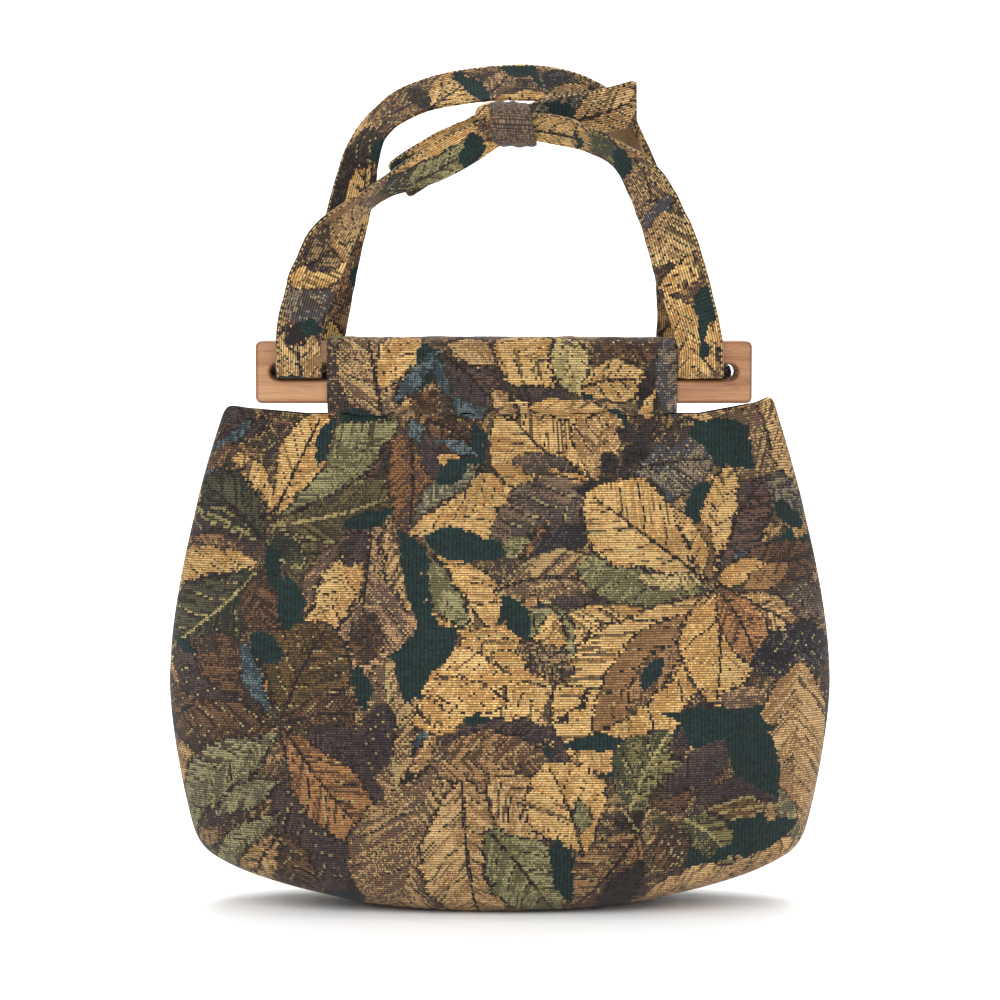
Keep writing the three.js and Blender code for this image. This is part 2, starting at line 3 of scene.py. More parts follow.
import bpy
import numpy as np
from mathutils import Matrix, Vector


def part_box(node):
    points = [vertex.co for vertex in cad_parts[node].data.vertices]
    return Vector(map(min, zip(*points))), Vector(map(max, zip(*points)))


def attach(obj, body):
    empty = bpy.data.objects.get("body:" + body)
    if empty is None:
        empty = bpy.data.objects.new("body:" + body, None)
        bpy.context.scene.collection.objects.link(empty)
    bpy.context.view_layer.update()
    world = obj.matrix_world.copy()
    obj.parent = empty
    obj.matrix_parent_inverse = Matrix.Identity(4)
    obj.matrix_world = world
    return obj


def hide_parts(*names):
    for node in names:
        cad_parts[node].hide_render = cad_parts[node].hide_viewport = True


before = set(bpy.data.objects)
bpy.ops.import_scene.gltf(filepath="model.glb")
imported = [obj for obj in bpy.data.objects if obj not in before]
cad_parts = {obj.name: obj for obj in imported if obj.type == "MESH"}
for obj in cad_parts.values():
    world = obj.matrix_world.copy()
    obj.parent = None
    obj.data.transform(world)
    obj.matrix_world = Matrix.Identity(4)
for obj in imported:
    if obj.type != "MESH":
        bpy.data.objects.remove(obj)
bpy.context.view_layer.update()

# Sizes are in millimetres, as the cloth and wood were measured, and MM turns them into metres.
MM = 0.001
SMALL_SPAN = 0.0001


def node_size(name):
    low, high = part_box(name)
    return [(high[k] - low[k]) / MM for k in range(3)]


def node_middle(name):
    low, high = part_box(name)
    return [(high[k] + low[k]) / 2 / MM for k in range(3)]


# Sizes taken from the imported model
CASING_WIDTH = node_size("front_casing")[0]
CASING_THICKNESS = node_size("front_casing")[1]
CASING_X = node_middle("front_casing")[0]
CASING_Y = abs(node_middle("front_casing")[1])
CASING_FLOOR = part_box("front_casing")[0][2] / MM
CASING_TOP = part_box("front_casing")[1][2] / MM
BAR_LENGTH, BAR_THICKNESS, BAR_HEIGHT = node_size("front_bar")
BAR_X, _, BAR_Z = node_middle("front_bar")
BODY_WIDTH = 333.0
BODY_DEPTH = 100.0
BODY_HEIGHT = CASING_FLOOR - 0.3
STRAP_WIDTH = 22.5
STRAP_THICKNESS = 3.0
STRAP_Z = BAR_Z - 1.85
STRAP_X = CASING_WIDTH / 2 + 1.5 + STRAP_WIDTH / 2
RUN_Y = CASING_Y + CASING_THICKNESS / 2 + 0.3 + STRAP_THICKNESS / 2
STRAP_BEND = 3.0
STRAP_GIRTH = 2 * (STRAP_WIDTH + STRAP_THICKNESS) * 0.97
HANDLE_RISE = 146.5

# Other sizes of the real thing
CORNER_RISE = {-1: 4.0, 1: 8.5}
CORNER_ROUND = 5.0
RISE_BELOW_BAR = 0.58
CLOTH = 2.0
BAR_CORNER = 3.0
BAR_EASING = 2.2
SLOT_LENGTH = 36.0
SLOT_HEIGHT = 7.3
SLOT_INSET = 7.5
SIDE_STEP = 11.9

# The weave: pitch of the ribs, sizes of threads, tufts and warp lines, and the shade of the gaps
RIB = 1.15
THREAD = 1.25
TUFT = 0.6
WARP = 1.2
GROUND_WARP = 1.9
GAP_SHADE = (150, 132, 122)

# Points across and down a panel, in its sole, and round a tape
PANEL_COLUMNS = 300
PANEL_ROWS = 232
SOLE_STEPS = 12
TAPE_FACES = 48

# How the cloth lies in the chart: shares for the way round and down a panel, the reach of its sole, and the
# number from which places across are taken on the back
ROUND_SHARE = 0.97
DOWN_SHARE = 0.972
SOLE_REACH = 26
BACK_TURN = 150

# Level sections of the body, from its base up: share of the height, of half the width, of half the depth,
# and the exponent of the section's superellipse.
BODY_SECTIONS = np.array([
    (0.0, 0.3, 0.56, 2.4),
    (0.004, 0.37, 0.65, 2.3),
    (0.012, 0.46, 0.74, 2.3),
    (0.025, 0.55, 0.82, 2.3),
    (0.045, 0.67, 0.88, 2.3),
    (0.068, 0.775, 0.925, 2.3),
    (0.092, 0.85, 0.95, 2.3),
    (0.112, 0.893, 0.965, 2.3),
    (0.14, 0.921, 0.98, 2.25),
    (0.21, 0.95, 1.0, 2.2),
    (0.3, 0.976, 0.99, 2.15),
    (0.38, 0.993, 0.955, 2.1),
    (0.45, 1.0, 0.9, 2.1),
    (0.54, 0.993, 0.81, 2.1),
    (0.62, 0.977, 0.71, 2.1),
    (0.7, 0.955, 0.6, 2.15),
    (0.78, 0.928, 0.49, 2.25),
    (0.86, 0.9, 0.385, 2.4),
    (0.94, 0.868, 0.295, 2.7),
    (1.0, 0.84, 0.25, 3.0),
])

# Hollows and swellings of the slack cloth: across, up, reach across, reach up, inward depth.
FRONT_FOLDS = [
    (-0.62, 0.86, 0.16, 0.16, 0.022),
    (0.64, 0.84, 0.15, 0.18, 0.024),
    (-0.3, 0.93, 0.16, 0.04, 0.012),
    (0.24, 0.93, 0.2, 0.04, 0.012),
    (0.03, 0.55, 0.3, 0.2, -0.02),
    (-0.72, 0.16, 0.14, 0.1, 0.014),
    (0.72, 0.15, 0.13, 0.1, 0.016),
]
BACK_FOLDS = [
    (-0.6, 0.85, 0.15, 0.17, 0.024),
    (0.62, 0.86, 0.16, 0.16, 0.02),
    (0.0, 0.62, 0.32, 0.18, 0.016),
    (-0.7, 0.17, 0.14, 0.1, 0.015),
    (0.7, 0.16, 0.14, 0.1, 0.014),
]

# Runs of the strap: across, rise, depth, width, roll, as in the model's solids.
FRONT_LEFT_RUN = [
    (-1.0, 0.118, 1.0, 1.0, 0),
    (-0.985, 0.19, 1.0, 1.03, 0),
    (-0.945, 0.285, 0.99, 1.06, 0),
    (-0.895, 0.375, 0.97, 1.08, -8),
    (-0.84, 0.455, 0.94, 1.1, -22),
    (-0.765, 0.525, 0.9, 1.02, -46),
    (-0.665, 0.592, 0.87, 0.8, -62),
    (-0.575, 0.634, 0.85, 0.74, -58),
    (-0.474, 0.669, 0.84, 0.78, -42),
    (-0.354, 0.707, 0.84, 0.84, -24),
    (-0.229, 0.752, 0.82, 0.86, -14),
    (-0.105, 0.798, 0.74, 0.78, -8),
    (0.0, 0.832, 0.6, 0.6, 0),
]
FRONT_RIGHT_RUN = [
    (0.1, 0.842, 0.6, 0.55, -20),
    (0.209, 0.838, 0.76, 0.7, -34),
    (0.329, 0.823, 0.86, 0.8, -42),
    (0.449, 0.795, 0.88, 0.76, -50),
    (0.57, 0.757, 0.88, 0.76, -50),
    (0.658, 0.71, 0.89, 0.84, -34),
    (0.722, 0.652, 0.9, 0.92, -14),
    (0.775, 0.583, 0.92, 1.0, -4),
    (0.835, 0.487, 0.95, 1.1, 0),
    (0.882, 0.385, 0.97, 1.14, 0),
    (0.925, 0.285, 0.99, 1.12, 0),
    (0.968, 0.19, 1.0, 1.06, 0),
    (1.0, 0.105, 1.0, 1.0, 0),
]
BACK_RUN = [
    (-0.905, 0.118, 1.0, 1.0, 0),
    (-0.878, 0.214, 0.98, 1.0, 0),
    (-0.848, 0.316, 0.93, 1.0, 0),
    (-0.818, 0.415, 0.86, 1.0, 2),
    (-0.778, 0.525, 0.8, 0.99, 5),
    (-0.733, 0.651, 0.74, 0.96, 10),
    (-0.69, 0.762, 0.68, 0.9, 24),
    (-0.632, 0.842, 0.64, 0.86, 38),
    (-0.524, 0.91, 0.62, 0.88, 36),
    (-0.354, 0.961, 0.62, 0.94, 36),
    (-0.155, 0.988, 0.64, 0.98, 36),
    (0.045, 1.0, 0.66, 1.0, 36),
    (0.244, 0.994, 0.68, 1.0, 34),
    (0.419, 0.952, 0.7, 0.98, 20),
    (0.562, 0.874, 0.72, 0.96, -12),
    (0.668, 0.772, 0.74, 0.98, -44),
    (0.752, 0.656, 0.77, 1.0, -52),
    (0.835, 0.52, 0.82, 1.0, -40),
    (0.888, 0.392, 0.88, 1.0, -20),
    (0.91, 0.256, 0.95, 1.0, -6),
    (0.908, 0.118, 1.0, 1.0, 0),
]
LEFT_TAIL = [
    (-0.51, 0.66, 0.24, 0.92, 4),
    (-0.4, 0.711, 0.24, 0.92, 4),
    (-0.28, 0.762, 0.24, 0.9, 4),
    (-0.165, 0.808, 0.26, 0.8, 4),
    (-0.07, 0.846, 0.3, 0.66, 2),
    (0.02, 0.862, 0.38, 0.5, 0),
]
RIGHT_TAIL = [
    (0.1, 0.872, 0.36, 0.5, 0),
    (0.19, 0.882, 0.28, 0.66, 0),
    (0.3, 0.888, 0.2, 0.84, 0),
    (0.42, 0.892, 0.18, 0.94, 0),
    (0.55, 0.904, 0.18, 0.98, 0),
    (0.685, 0.927, 0.18, 1.0, 0),
]
KNOT_MIDDLE = (0.06 * STRAP_X, -0.52 * RUN_Y, STRAP_Z + 0.852 * HANDLE_RISE)
KNOT_SIZE = (21.0, 18.0, 22.5)

# Thread colours of the tapestry, as sRGB: main colour, second colour, share of the second,
# share of dark specks, and how strongly the ribs show.
THREADS = {
    "ground": ((30, 48, 46), (24, 38, 37), 0.4, 0.05, 0.0),
    "gold": ((210, 174, 114), (178, 136, 80), 0.42, 0.06, 1.0),
    "palegold": ((204, 180, 122), (160, 146, 96), 0.42, 0.08, 0.9),
    "tan": ((196, 162, 112), (150, 116, 76), 0.45, 0.14, 0.95),
    "tanmottle": ((180, 148, 102), (104, 84, 66), 0.46, 0.2, 0.8),
    "tandark": ((150, 124, 86), (66, 56, 54), 0.5, 0.24, 0.7),
    "tanbrown": ((160, 124, 84), (92, 72, 56), 0.5, 0.2, 0.8),
    "rosetan": ((178, 142, 102), (104, 84, 72), 0.46, 0.2, 0.9),
    "flatbrown": ((150, 114, 76), (130, 98, 64), 0.4, 0.05, 0.8),
    "olive": ((152, 146, 104), (104, 102, 70), 0.42, 0.12, 0.75),
    "oliveyellow": ((130, 122, 78), (72, 74, 56), 0.5, 0.18, 0.65),
    "palegreen": ((158, 150, 110), (104, 100, 76), 0.42, 0.18, 0.75),
    "darkolive": ((86, 84, 62), (52, 54, 46), 0.45, 0.2, 0.5),
    "moss": ((112, 100, 66), (72, 66, 50), 0.45, 0.18, 0.5),
    "greygreen": ((146, 140, 110), (92, 90, 76), 0.42, 0.16, 0.7),
    "brown": ((112, 84, 60), (66, 54, 46), 0.45, 0.2, 0.6),
    "brownolive": ((118, 90, 58), (78, 66, 46), 0.45, 0.18, 0.6),
    "brownorange": ((144, 102, 64), (84, 66, 56), 0.5, 0.16, 0.7),
    "orange": ((168, 122, 78), (112, 80, 56), 0.42, 0.12, 0.85),
    "plum": ((88, 72, 66), (62, 54, 56), 0.45, 0.16, 0.5),
    "plumbrown": ((108, 84, 72), (72, 62, 62), 0.5, 0.18, 0.6),
    "plumgrey": ((128, 108, 86), (82, 72, 68), 0.5, 0.18, 0.6),
    "brownblack": ((74, 62, 50), (42, 38, 36), 0.45, 0.24, 0.5),
    "greymottle": ((138, 124, 100), (72, 72, 76), 0.5, 0.22, 0.6),
    "slate": ((102, 118, 120), (62, 76, 82), 0.4, 0.1, 0.5),
    "darkslate": ((90, 84, 80), (46, 44, 50), 0.5, 0.24, 0.5),
    "dark": ((44, 38, 38), (58, 50, 48), 0.35, 0.12, 0.4),
}
DARK_LINE = (40, 33, 32)
LIGHT_LINE = (172, 160, 108)
STITCH_COLOURS = ((196, 166, 110), (66, 52, 40))

# The leaves, charted in millimetres as they lie on the front: x from the middle, z above the table. A row
# holds the stalk end, the tip and the width, then the thread, the marks, the bow to the left of stalk to tip
# and the place of the widest part. A row of five numbers is bare ground. The marks are m dark midrib,
# s side veins, l light midrib, o light edge and k dark edge.
LEAVES = [
    # Round the back
    (176, 22, 192, 92, 44, "rosetan", "ms", 2),
    (204, 26, 176, 60, 26, "olive", "ms", 2),
    (168, 92, 196, 150, 40, "brown", "ms", -2),
    (200, 108, 170, 156, 22, "tan", "ms", 2),
    (190, 146, 164, 202, 34, "gold", "ms", 2),
    (196, 160, 204, 208, 20, "plum", "s", -2),
    (172, 198, 198, 252, 34, "tan", "ms", 2),
    (176, 226, 158, 256, 20, "brown", "s"),
    (112, 254, 168, 286, 30, "tan", "ms", 2),
    (166, 256, 140, 304, 24, "plumbrown", "s"),
    (222, 258, 176, 288, 32, "gold", "ms", 2),
    (196, 286, 160, 310, 22, "brown", "ms"),
    (236, 268, 226, 308, 26, "olive", "ms"),
    (184, 196, 176, 224, 11),
    (170, 150, 190, 138, 10),
    (186, 88, 170, 100, 12),
    # Upper left
    (-106, 232, -149, 234, 38, "tandark", "s"),
    (-112, 240, -144, 246, 14, "plum", "", 2),
    (-114, 226, -151, 222, 14, "tanbrown", "s", -2),
    (-120, 242, -146, 226, 5, "slate", "", 2),
    (-122, 219, -149, 216, 4, "slate", "", 1),
    (-148, 214, -160, 190, 10, "tan", "s"),
    (-120, 176, -162, 184, 16, "tanbrown", "s", 2),
    (-116, 174, -170, 156, 32, "gold", "s", -2, 0.6),
    (-110, 200, -128, 226, 18, "gold", "", 2),
    (-112, 194, -134, 224, 13, "tandark", "mk", 3),
    (-114, 184, -148, 214, 26, "darkolive", "mk", -2, 0.55),
    (-117, 183, -155, 200, 9, "darkolive", "ol", -3),
    (-116, 171, -170, 128, 42, "darkolive", "lsk", 3, 0.6),
    (-117, 168, -110, 136, 22, "brown", "", -2),
    (-109, 186, -84, 158, 24, "moss", "", 2),
    (-112, 192, -46, 209, 30, "moss", "lo", -3, 0.6),
    (-111, 194, -49, 244, 27, "olive", "k", 4, 0.58),
    (-111, 194, -85, 249, 22, "gold", "m", 0, 0.62),
    (-113, 184, -94, 172, 14, "darkolive", "o", 3),
    (-62, 194, -68, 120, 60, "rosetan", "ms"),
    (-68, 189, -94, 130, 20, "gold", "k", 3),
    (-66, 190, -73, 172, 11, "plum"),
    (-62, 150, -66, 124, 16, "brown"),
    (-57, 189, -44, 150, 16, "tan", "k", 4),
    (-44, 244, -44, 186, 24, "brownorange", "m", 2),
    (-40, 240, -25, 208, 14, "plum", "s", 2),
    (-36, 244, -8, 226, 22, "brown", "ms", 3),
    (-30, 226, -14, 222, 9, "gold", "", -2),
    (-42, 246, -40, 232, 8, "slate"),
    (-32, 234, -10, 226, 5, "slate", "", 2),
    (-46, 189, 6, 214, 32, "gold", "s", -5, 0.62),
    (-45, 190, -8, 223, 12, "greygreen", "k", 3, 0.6),
    (-32, 179, -3, 139, 32, "gold", "m", -1, 0.55),
    (-32, 178, -14, 142, 15, "olive", "k", -4, 0.55),
    # Upper middle
    (44, 214, 0, 254, 48, "gold", "m", 4, 0.55),
    (45, 214, 50, 252, 24, "tan", "", 0, 0.6),
    (44, 212, 6, 224, 13, "plumgrey", "", -2),
    (42, 214, 16, 218, 12, "gold", "", 2),
    (44, 212, -4, 186, 38, "plumgrey", "s", 3),
    (24, 186, -2, 178, 12, "olive"),
    (10, 176, 24, 195, 6, "orange", "k"),
    (16, 180, 44, 190, 15, "darkslate"),
    (56, 216, 104, 224, 36, "greymottle", "ms", 3),
    (72, 234, 94, 248, 18, "tandark", "m"),
    (74, 250, 57, 216, 9, "dark", "", 3),
    (56, 238, 70, 236, 9, "dark"),
    (50, 228, 56, 218, 8, "dark"),
    (57, 216, 35, 210, 5, "dark", "", 1),
    (56, 216, 70, 208, 5, "dark"),
    (-3, 160, 62, 156, 26, "tanmottle", "mo", 9),
    # Large leaf on the right
    (78, 247, 150, 246, 26, "tan", "", 3, 0.65),
    (112, 250, 156, 186, 46, "tanmottle", "s", 3, 0.45),
    (128, 250, 148, 206, 20, "tan", "", 4),
    (128, 214, 152, 198, 16, "greymottle"),
    (148, 196, 146, 184, 10, "tan", "", 0, 0.4),
    (106, 168, 116, 178, 9, "orange"),
    (105, 168, 130, 214, 32, "plumbrown", "mk", 5),
    (112, 172, 124, 180, 6, "slate"),
    (104, 166, 112, 221, 18, "gold", "k", 3, 0.6),
    (101, 165, 97, 194, 10, "flatbrown"),
    (106, 160, 166, 150, 26, "plumgrey", "sk", 2, 0.55),
    (104, 162, 165, 178, 24, "brown", "mk", 2, 0.55),
    (105, 163, 134, 172, 11, "gold", "", 2),
    (118, 160, 142, 171, 11, "flatbrown"),
    (110, 158, 152, 136, 18, "tan", "mk", 2),
    (80, 155, 20, 150, 18, "olive", "k", 3),
    (66, 161, 24, 155, 7, "plum", "", 2),
    (76, 152, 22, 138, 19, "gold", "s", 1, 0.55),
    (98, 160, 36, 172, 30, "olive", "", -2, 0.55),
    (96, 166, 84, 200, 18, "gold"),
    (99, 162, 66, 167, 9, "palegold", "", -1),
    (101, 164, 42, 209, 44, "gold", "msk", 0, 0.68),
    (104, 160, 28, 72, 62, "gold", "msk", -2, 0.58),
    (98, 150, 44, 92, 26, "flatbrown", "s", -3),
    (90, 136, 62, 100, 12, "tanbrown", "s", -3),
    (105, 160, 104, 102, 40, "gold", "mk", 2, 0.45),
    (106, 160, 126, 122, 20, "orange", "m", 2),
    (18, 158, -2, 128, 12, "tan", "k"),
    (-16, 140, 18, 98, 52, "gold", "s", 4),
    (-40, 124, 6, 118, 22, "gold", "", 0, 0.4),
    (-38, 112, 4, 106, 18, "gold", "", 0, 0.4),
    (14, 152, 32, 124, 24, "olive", "s"),
    (26, 150, 20, 118, 14, "gold", "s"),
    (8, 134, 36, 120, 16, "tandark", "s"),
    (69, 112, 78, 128, 9),
    (42, 112, 28, 98, 2, "dark", "", 2),
    # Lower left
    (-111, 100, -166, 126, 32, "plum", "s", -3, 0.6),
    (-112, 106, -150, 136, 24, "brown", "", 0, 0.6),
    (-112, 108, -126, 122, 12, "orange"),
    (-108, 97, -125, 134, 9, "slate", "", 2, 0.6),
    (-106, 95, -82, 144, 44, "brownolive", "msk", 2, 0.6),
    (-114, 88, -172, 68, 32, "tan", "s", 2, 0.6),
    (-105, 95, -168, 90, 28, "brown", "sk", 0, 0.55),
    (-104, 95, -60, 100, 17, "brown", "ms", 3, 0.55),
    (-92, 94, -54, 46, 32, "plum", "", 6),
    (-96, 58, -58, 8, 34, "dark", "", 4),
    (-107, 66, -78, 10, 34, "plum", "s", 4),
    (-106, 44, -94, 2, 18, "brown", "s", 1),
    (-105, 94, -59, 38, 32, "orange", "msk", -2, 0.58),
    (-106, 68, -158, 32, 20, "tandark", "k", 1, 0.55),
    (-106, 52, -148, 20, 16, "palegreen", "k", 0, 0.55),
    (-106, 44, -134, 2, 20, "tan", "msk", 0, 0.55),
    (-105, 92, -164, 54, 28, "palegreen", "sk", 0, 0.6),
    (-106, 68, -142, 50, 13, "palegreen", "k"),
    (-46, 52, -54, 128, 32, "tanmottle", "ls", 2, 0.55),
    (-54, 106, -66, 70, 18, "plum", "s"),
    (-38, 78, -34, 110, 7, "slate"),
    (-42, 98, -16, 100, 16, "gold"),
    (-40, 108, -28, 98, 9, "gold"),
    (-42, 70, -32, 92, 8, "tan", "k"),
    (-44, 52, -42, 74, 10, "dark"),
    # Lower middle
    (-30, 88, 28, 92, 16, "plum"),
    (-34, 78, 26, 76, 28, "tanbrown", "s", 2),
    (-32, 72, -52, -8, 62, "tanmottle", "s"),
    (-18, 70, -8, -12, 46, "tan", "msk", -2),
    (-6, 46, 28, -2, 36, "olive", "msk", 2),
    (-4, 74, 24, 40, 26, "tan", "s"),
    (26, 92, 30, 40, 14, "plum", "", 3),
    # Lower right
    (120, 124, 170, 132, 30, "darkslate", "ms", 0, 0.55),
    (104, 106, 132, 109, 12, "rosetan", "", 0, 0.55),
    (88, 99, 108, 104, 6, "dark"),
    (148, 124, 152, 26, 48, "tan", "k", -4, 0.45),
    (134, 66, 156, 30, 9, "palegreen"),
    (66, 6, 158, 34, 26, "tan", "s"),
    (118, 22, 120, 38, 7, "tan", "", 0, 0.3),
    (138, 28, 139, 41, 7, "tan", "", 0, 0.3),
    (68, 46, 32, 2, 34, "tanbrown", "ms", 2, 0.55),
    (68, 30, 48, -4, 16, "dark"),
    (52, 56, 30, 76, 6, "brown"),
    (40, 32, 22, 78, 40, "gold", "mk", -2, 0.58),
    (40, 44, 38, 60, 8, "olive"),
    (66, 44, 58, 56, 14, "brownblack", "l"),
    (62, 54, 82, 92, 34, "oliveyellow", "ls", 2),
    (84, 78, 88, 94, 7, "plum"),
    (72, 58, 96, 68, 16, "brown", "s"),
    (76, 60, 114, 88, 15, "plum", "", 0, 0.55),
    (92, 60, 138, 56, 16, "plum", "", 2),
    (92, 50, 138, 54, 11, "brownolive", "lo", 1),
    (80, 48, 86, 22, 17, "brown", "s"),
    (88, 50, 114, 26, 20, "oliveyellow", "lk", 3),
    # Ground between the leaves
    (-81, 249, -60, 246, 9),
    (-88, 222, -80, 245, 6, "ground", "", 1),
    (-76, 191, -50, 200, 9),
    (-113, 184, -107, 160, 8),
    (-103, 168, -102, 140, 12),
    (-121, 138, -105, 126, 14),
    (-68, 124, -64, 102, 9),
    (-31, 212, -15, 226, 12),
    (-36, 186, 3, 179, 16, "ground", "", 0, 0.4),
    (-50, 120, -20, 142, 20),
    (-45, 106, -36, 136, 15),
    (-165, 134, -150, 128, 7),
    (-49, 191, -38, 142, 10, "ground", "", 2),
    (-12, 244, -8, 222, 6),
    (2, 159, 14, 136, 12),
    (76, 101, 134, 92, 13, "ground", "", 0, 0.6),
    (112, 98, 138, 56, 22, "ground", "", 0, 0.4),
    (96, 28, 152, 46, 13, "ground", "", 0, 0.6),
    (27, 42, 33, 6, 10),
    (30, 86, 60, 88, 9),
    (100, 243, 124, 218, 18),
    (132, 204, 150, 190, 10),
    # Casing
    (-76, 248, -80, 296, 20, "tandark", "ms"),
    (-58, 246, -68, 300, 34, "tanmottle", "ms"),
    (-58, 262, -40, 292, 18, "gold", "", 2),
    (-30, 282, -52, 254, 9, "slate", "k"),
    (-40, 246, -34, 262, 12, "brownolive", "s"),
    (-32, 276, -20, 256, 12, "slate"),
    (-24, 262, -8, 244, 15, "slate", "k"),
    (-28, 278, -2, 252, 20, "plumbrown", "m", 2),
    (-26, 284, 0, 276, 14, "tan", "k"),
    (2, 268, 42, 254, 12, "plum", "", -2, 0.4),
    (-4, 262, 8, 244, 10, "tan", "k"),
    (14, 252, 54, 250, 12, "gold"),
    (-2, 286, 34, 266, 30, "gold", "k", 0, 0.45),
    (30, 290, 40, 258, 20, "palegold", "k"),
    (48, 286, 78, 278, 16, "brown", "s"),
    (40, 262, 74, 266, 20, "gold", "ms", 2),
    (72, 246, 78, 274, 13, "dark"),
    (70, 244, 77, 262, 5, "gold"),
    (84, 244, 84, 290, 12, "greymottle", "s"),
]
# Bare ground under the leaves
GROUND = [
    (-52, 250, -88, 224, 17), (-6, 238, -34, 203, 18), (-88, 192, -50, 199, 10), (-26, 182, 8, 186, 20),
    (-46, 192, -33, 132, 20), (-105, 178, -99, 130, 15), (-42, 142, -24, 122, 22), (-46, 138, -40, 104, 27),
    (-107, 136, -104, 104, 11), (-165, 100, -144, 97, 9), (-90, 6, -62, 15, 17), (-24, 102, 6, 99, 10),
    (40, 72, 96, 99, 24), (84, 90, 140, 98, 26), (122, 98, 128, 58, 26), (106, 46, 152, 38, 15),
    (124, 62, 152, 34, 20), (27, 94, 25, 72, 11), (28, 44, 33, 8, 14), (82, 38, 100, 26, 13),
    (-6, 150, 21, 154, 18), (1, 208, 29, 215, 11), (90, 243, 124, 217, 20), (101, 214, 91, 192, 13),
    (128, 176, 161, 187, 18), (111, 165, 125, 176, 9), (53, 251, 62, 239, 8), (-42, 284, -26, 266, 12),
    (-54, 262, -33, 267, 10), (30, 281, 47, 256, 13), (-14, 130, 4, 126, 8),
]
# Threads of the cloth between the charted leaves, from dark to light
UNDERLAY = ("brownblack", "plum", "brown", "tandark", "moss", "tanmottle", "tan")
# Where each tape starts in the strap's chart, which lies along a tape and across it from its outer edge
TAPE_STARTS = {"back": 0, "front_left": 440, "front_right": 630, "tail_left": 815, "tail_right": 885}
TAPE_LEAVES = [
    # Back strap
    (20, 24, 52, 4, 20, "gold", "ms"),
    (56, 2, 92, 16, 18, "tan", "ms"),
    (92, 26, 66, 18, 12, "tanbrown", "s"),
    (84, 5, 140, 4, 12, "brownblack", "s"),
    (92, 20, 134, 15, 17, "gold", "ms", 1),
    (128, 8, 150, 22, 20, "brownblack", "s"),
    (148, 16, 182, 14, 26, "tanbrown", "ms"),
    (174, 4, 184, 26, 7, "brownblack"),
    (182, 22, 206, 8, 26, "gold", "ms"),
    (208, 22, 226, 2, 14, "tanmottle", "ms", 2),
    (214, 26, 244, 20, 16, "gold", "ms", 3),
    (240, 6, 256, 14, 16, "darkslate", "s"),
    (240, 24, 274, 10, 20, "tan", "ms"),
    (270, 4, 300, 16, 20, "rosetan", "s"),
    (296, 6, 344, 8, 14, "gold", "ms"),
    (306, 24, 336, 20, 12, "brown", "s"),
    (342, 20, 384, 8, 24, "tanmottle", "ms"),
    (384, 4, 430, 20, 22, "gold", "ms"),
    (196, 2, 213, 25, 9),
    (218, 0, 238, 5, 12),
    (234, 3, 239, 16, 5),
    (134, 18, 148, 27, 11),
    (108, 26, 128, 22, 5, "dark"),
    (70, 22, 84, 27, 8),
    (352, 2, 366, 10, 8),
    # Front left
    (452, 14, 486, 10, 26, "tan", "ms"),
    (474, 6, 490, 20, 8, "brownblack"),
    (486, 6, 508, 18, 24, "greymottle", "s"),
    (500, 2, 524, 24, 14, "gold", "s"),
    (512, 6, 534, 16, 16, "tandark", "ms", 2),
    (522, 22, 560, 12, 24, "tan", "s"),
    (530, 4, 560, 2, 8, "flatbrown"),
    (524, 27, 540, 25, 5, "brownblack"),
    (552, 10, 574, 12, 24, "tanmottle", "s"),
    (562, 14, 594, 14, 26, "darkolive", "s"),
    (576, 18, 618, 14, 24, "olive", "ms"),
    (574, 3, 622, 4, 9, "gold", "s"),
    (614, 22, 628, 20, 12, "gold", "s"),
    (606, 24, 620, 8, 13),
    (576, 27, 592, 26, 4, "dark"),
    (454, 8, 460, 8, 22),
    (478, 16, 490, 18, 10),
    (474, 27, 498, 25, 6),
    # Front right
    (628, 14, 672, 14, 26, "gold", "ms"),
    (664, 2, 684, 20, 13, "oliveyellow", "s"),
    (688, 6, 724, 18, 24, "tanmottle", "ms"),
    (712, 3, 724, 26, 9, "greymottle"),
    (718, 10, 748, 16, 27, "tan", "s"),
    (742, 26, 756, 2, 8, "brown", "s", 2),
    (744, 4, 766, 22, 16, "gold", "s"),
    (756, 4, 770, 26, 7, "tanbrown"),
    (760, 20, 812, 16, 26, "gold", "s"),
    (658, 4, 664, 22, 4, "ground", "", 1),
    (682, 4, 690, 26, 12),
    (758, 1, 778, 8, 11),
    (772, 9, 796, 11, 4),
    # Tails
    (814, 14, 842, 12, 26, "darkolive", "s"),
    (826, 20, 862, 12, 20, "oliveyellow", "ms"),
    (826, 3, 872, 4, 9, "gold", "s"),
    (854, 22, 880, 22, 12, "gold", "s"),
    (814, 4, 824, 8, 9),
    (850, 20, 866, 8, 13),
    (886, 12, 926, 8, 26, "greymottle", "s"),
    (912, 16, 946, 10, 26, "tan", "ms"),
    (898, 3, 914, 20, 11),
]
TAPE_UNDERLAY = ("brownblack", "brown", "tandark", "tanbrown", "tanmottle", "tan")
# Widths of the woven lines, the stitches at a tape's edges, and the size of each repeat
VEIN = 1.0
EDGE_LINE = 1.1
STROKES = 0.36
STITCH = 2.7
CLOTH_REPEAT = (350.0, 312.0)
TAPE_REPEAT = (960.0, 28.0)


def fraction_hash(a, b, seed):
    value = np.sin(a * 12.9898 + b * 78.233 + seed * 37.719) * 43758.5453
    return value - np.floor(value)


def smooth_noise(x, y, seed):
    """Value noise between 0 and 1 with cells of size 1."""
    x0, y0 = np.floor(x), np.floor(y)
    fx, fy = x - x0, y - y0
    fx, fy = fx * fx * (3 - 2 * fx), fy * fy * (3 - 2 * fy)
    low = fraction_hash(x0, y0, seed) * (1 - fx) + fraction_hash(x0 + 1, y0, seed) * fx
    high = fraction_hash(x0, y0 + 1, seed) * (1 - fx) + fraction_hash(x0 + 1, y0 + 1, seed) * fx
    return low * (1 - fy) + high * fy


def wrapped(value, middle, period):
    return middle + (value - middle + period / 2) % period - period / 2


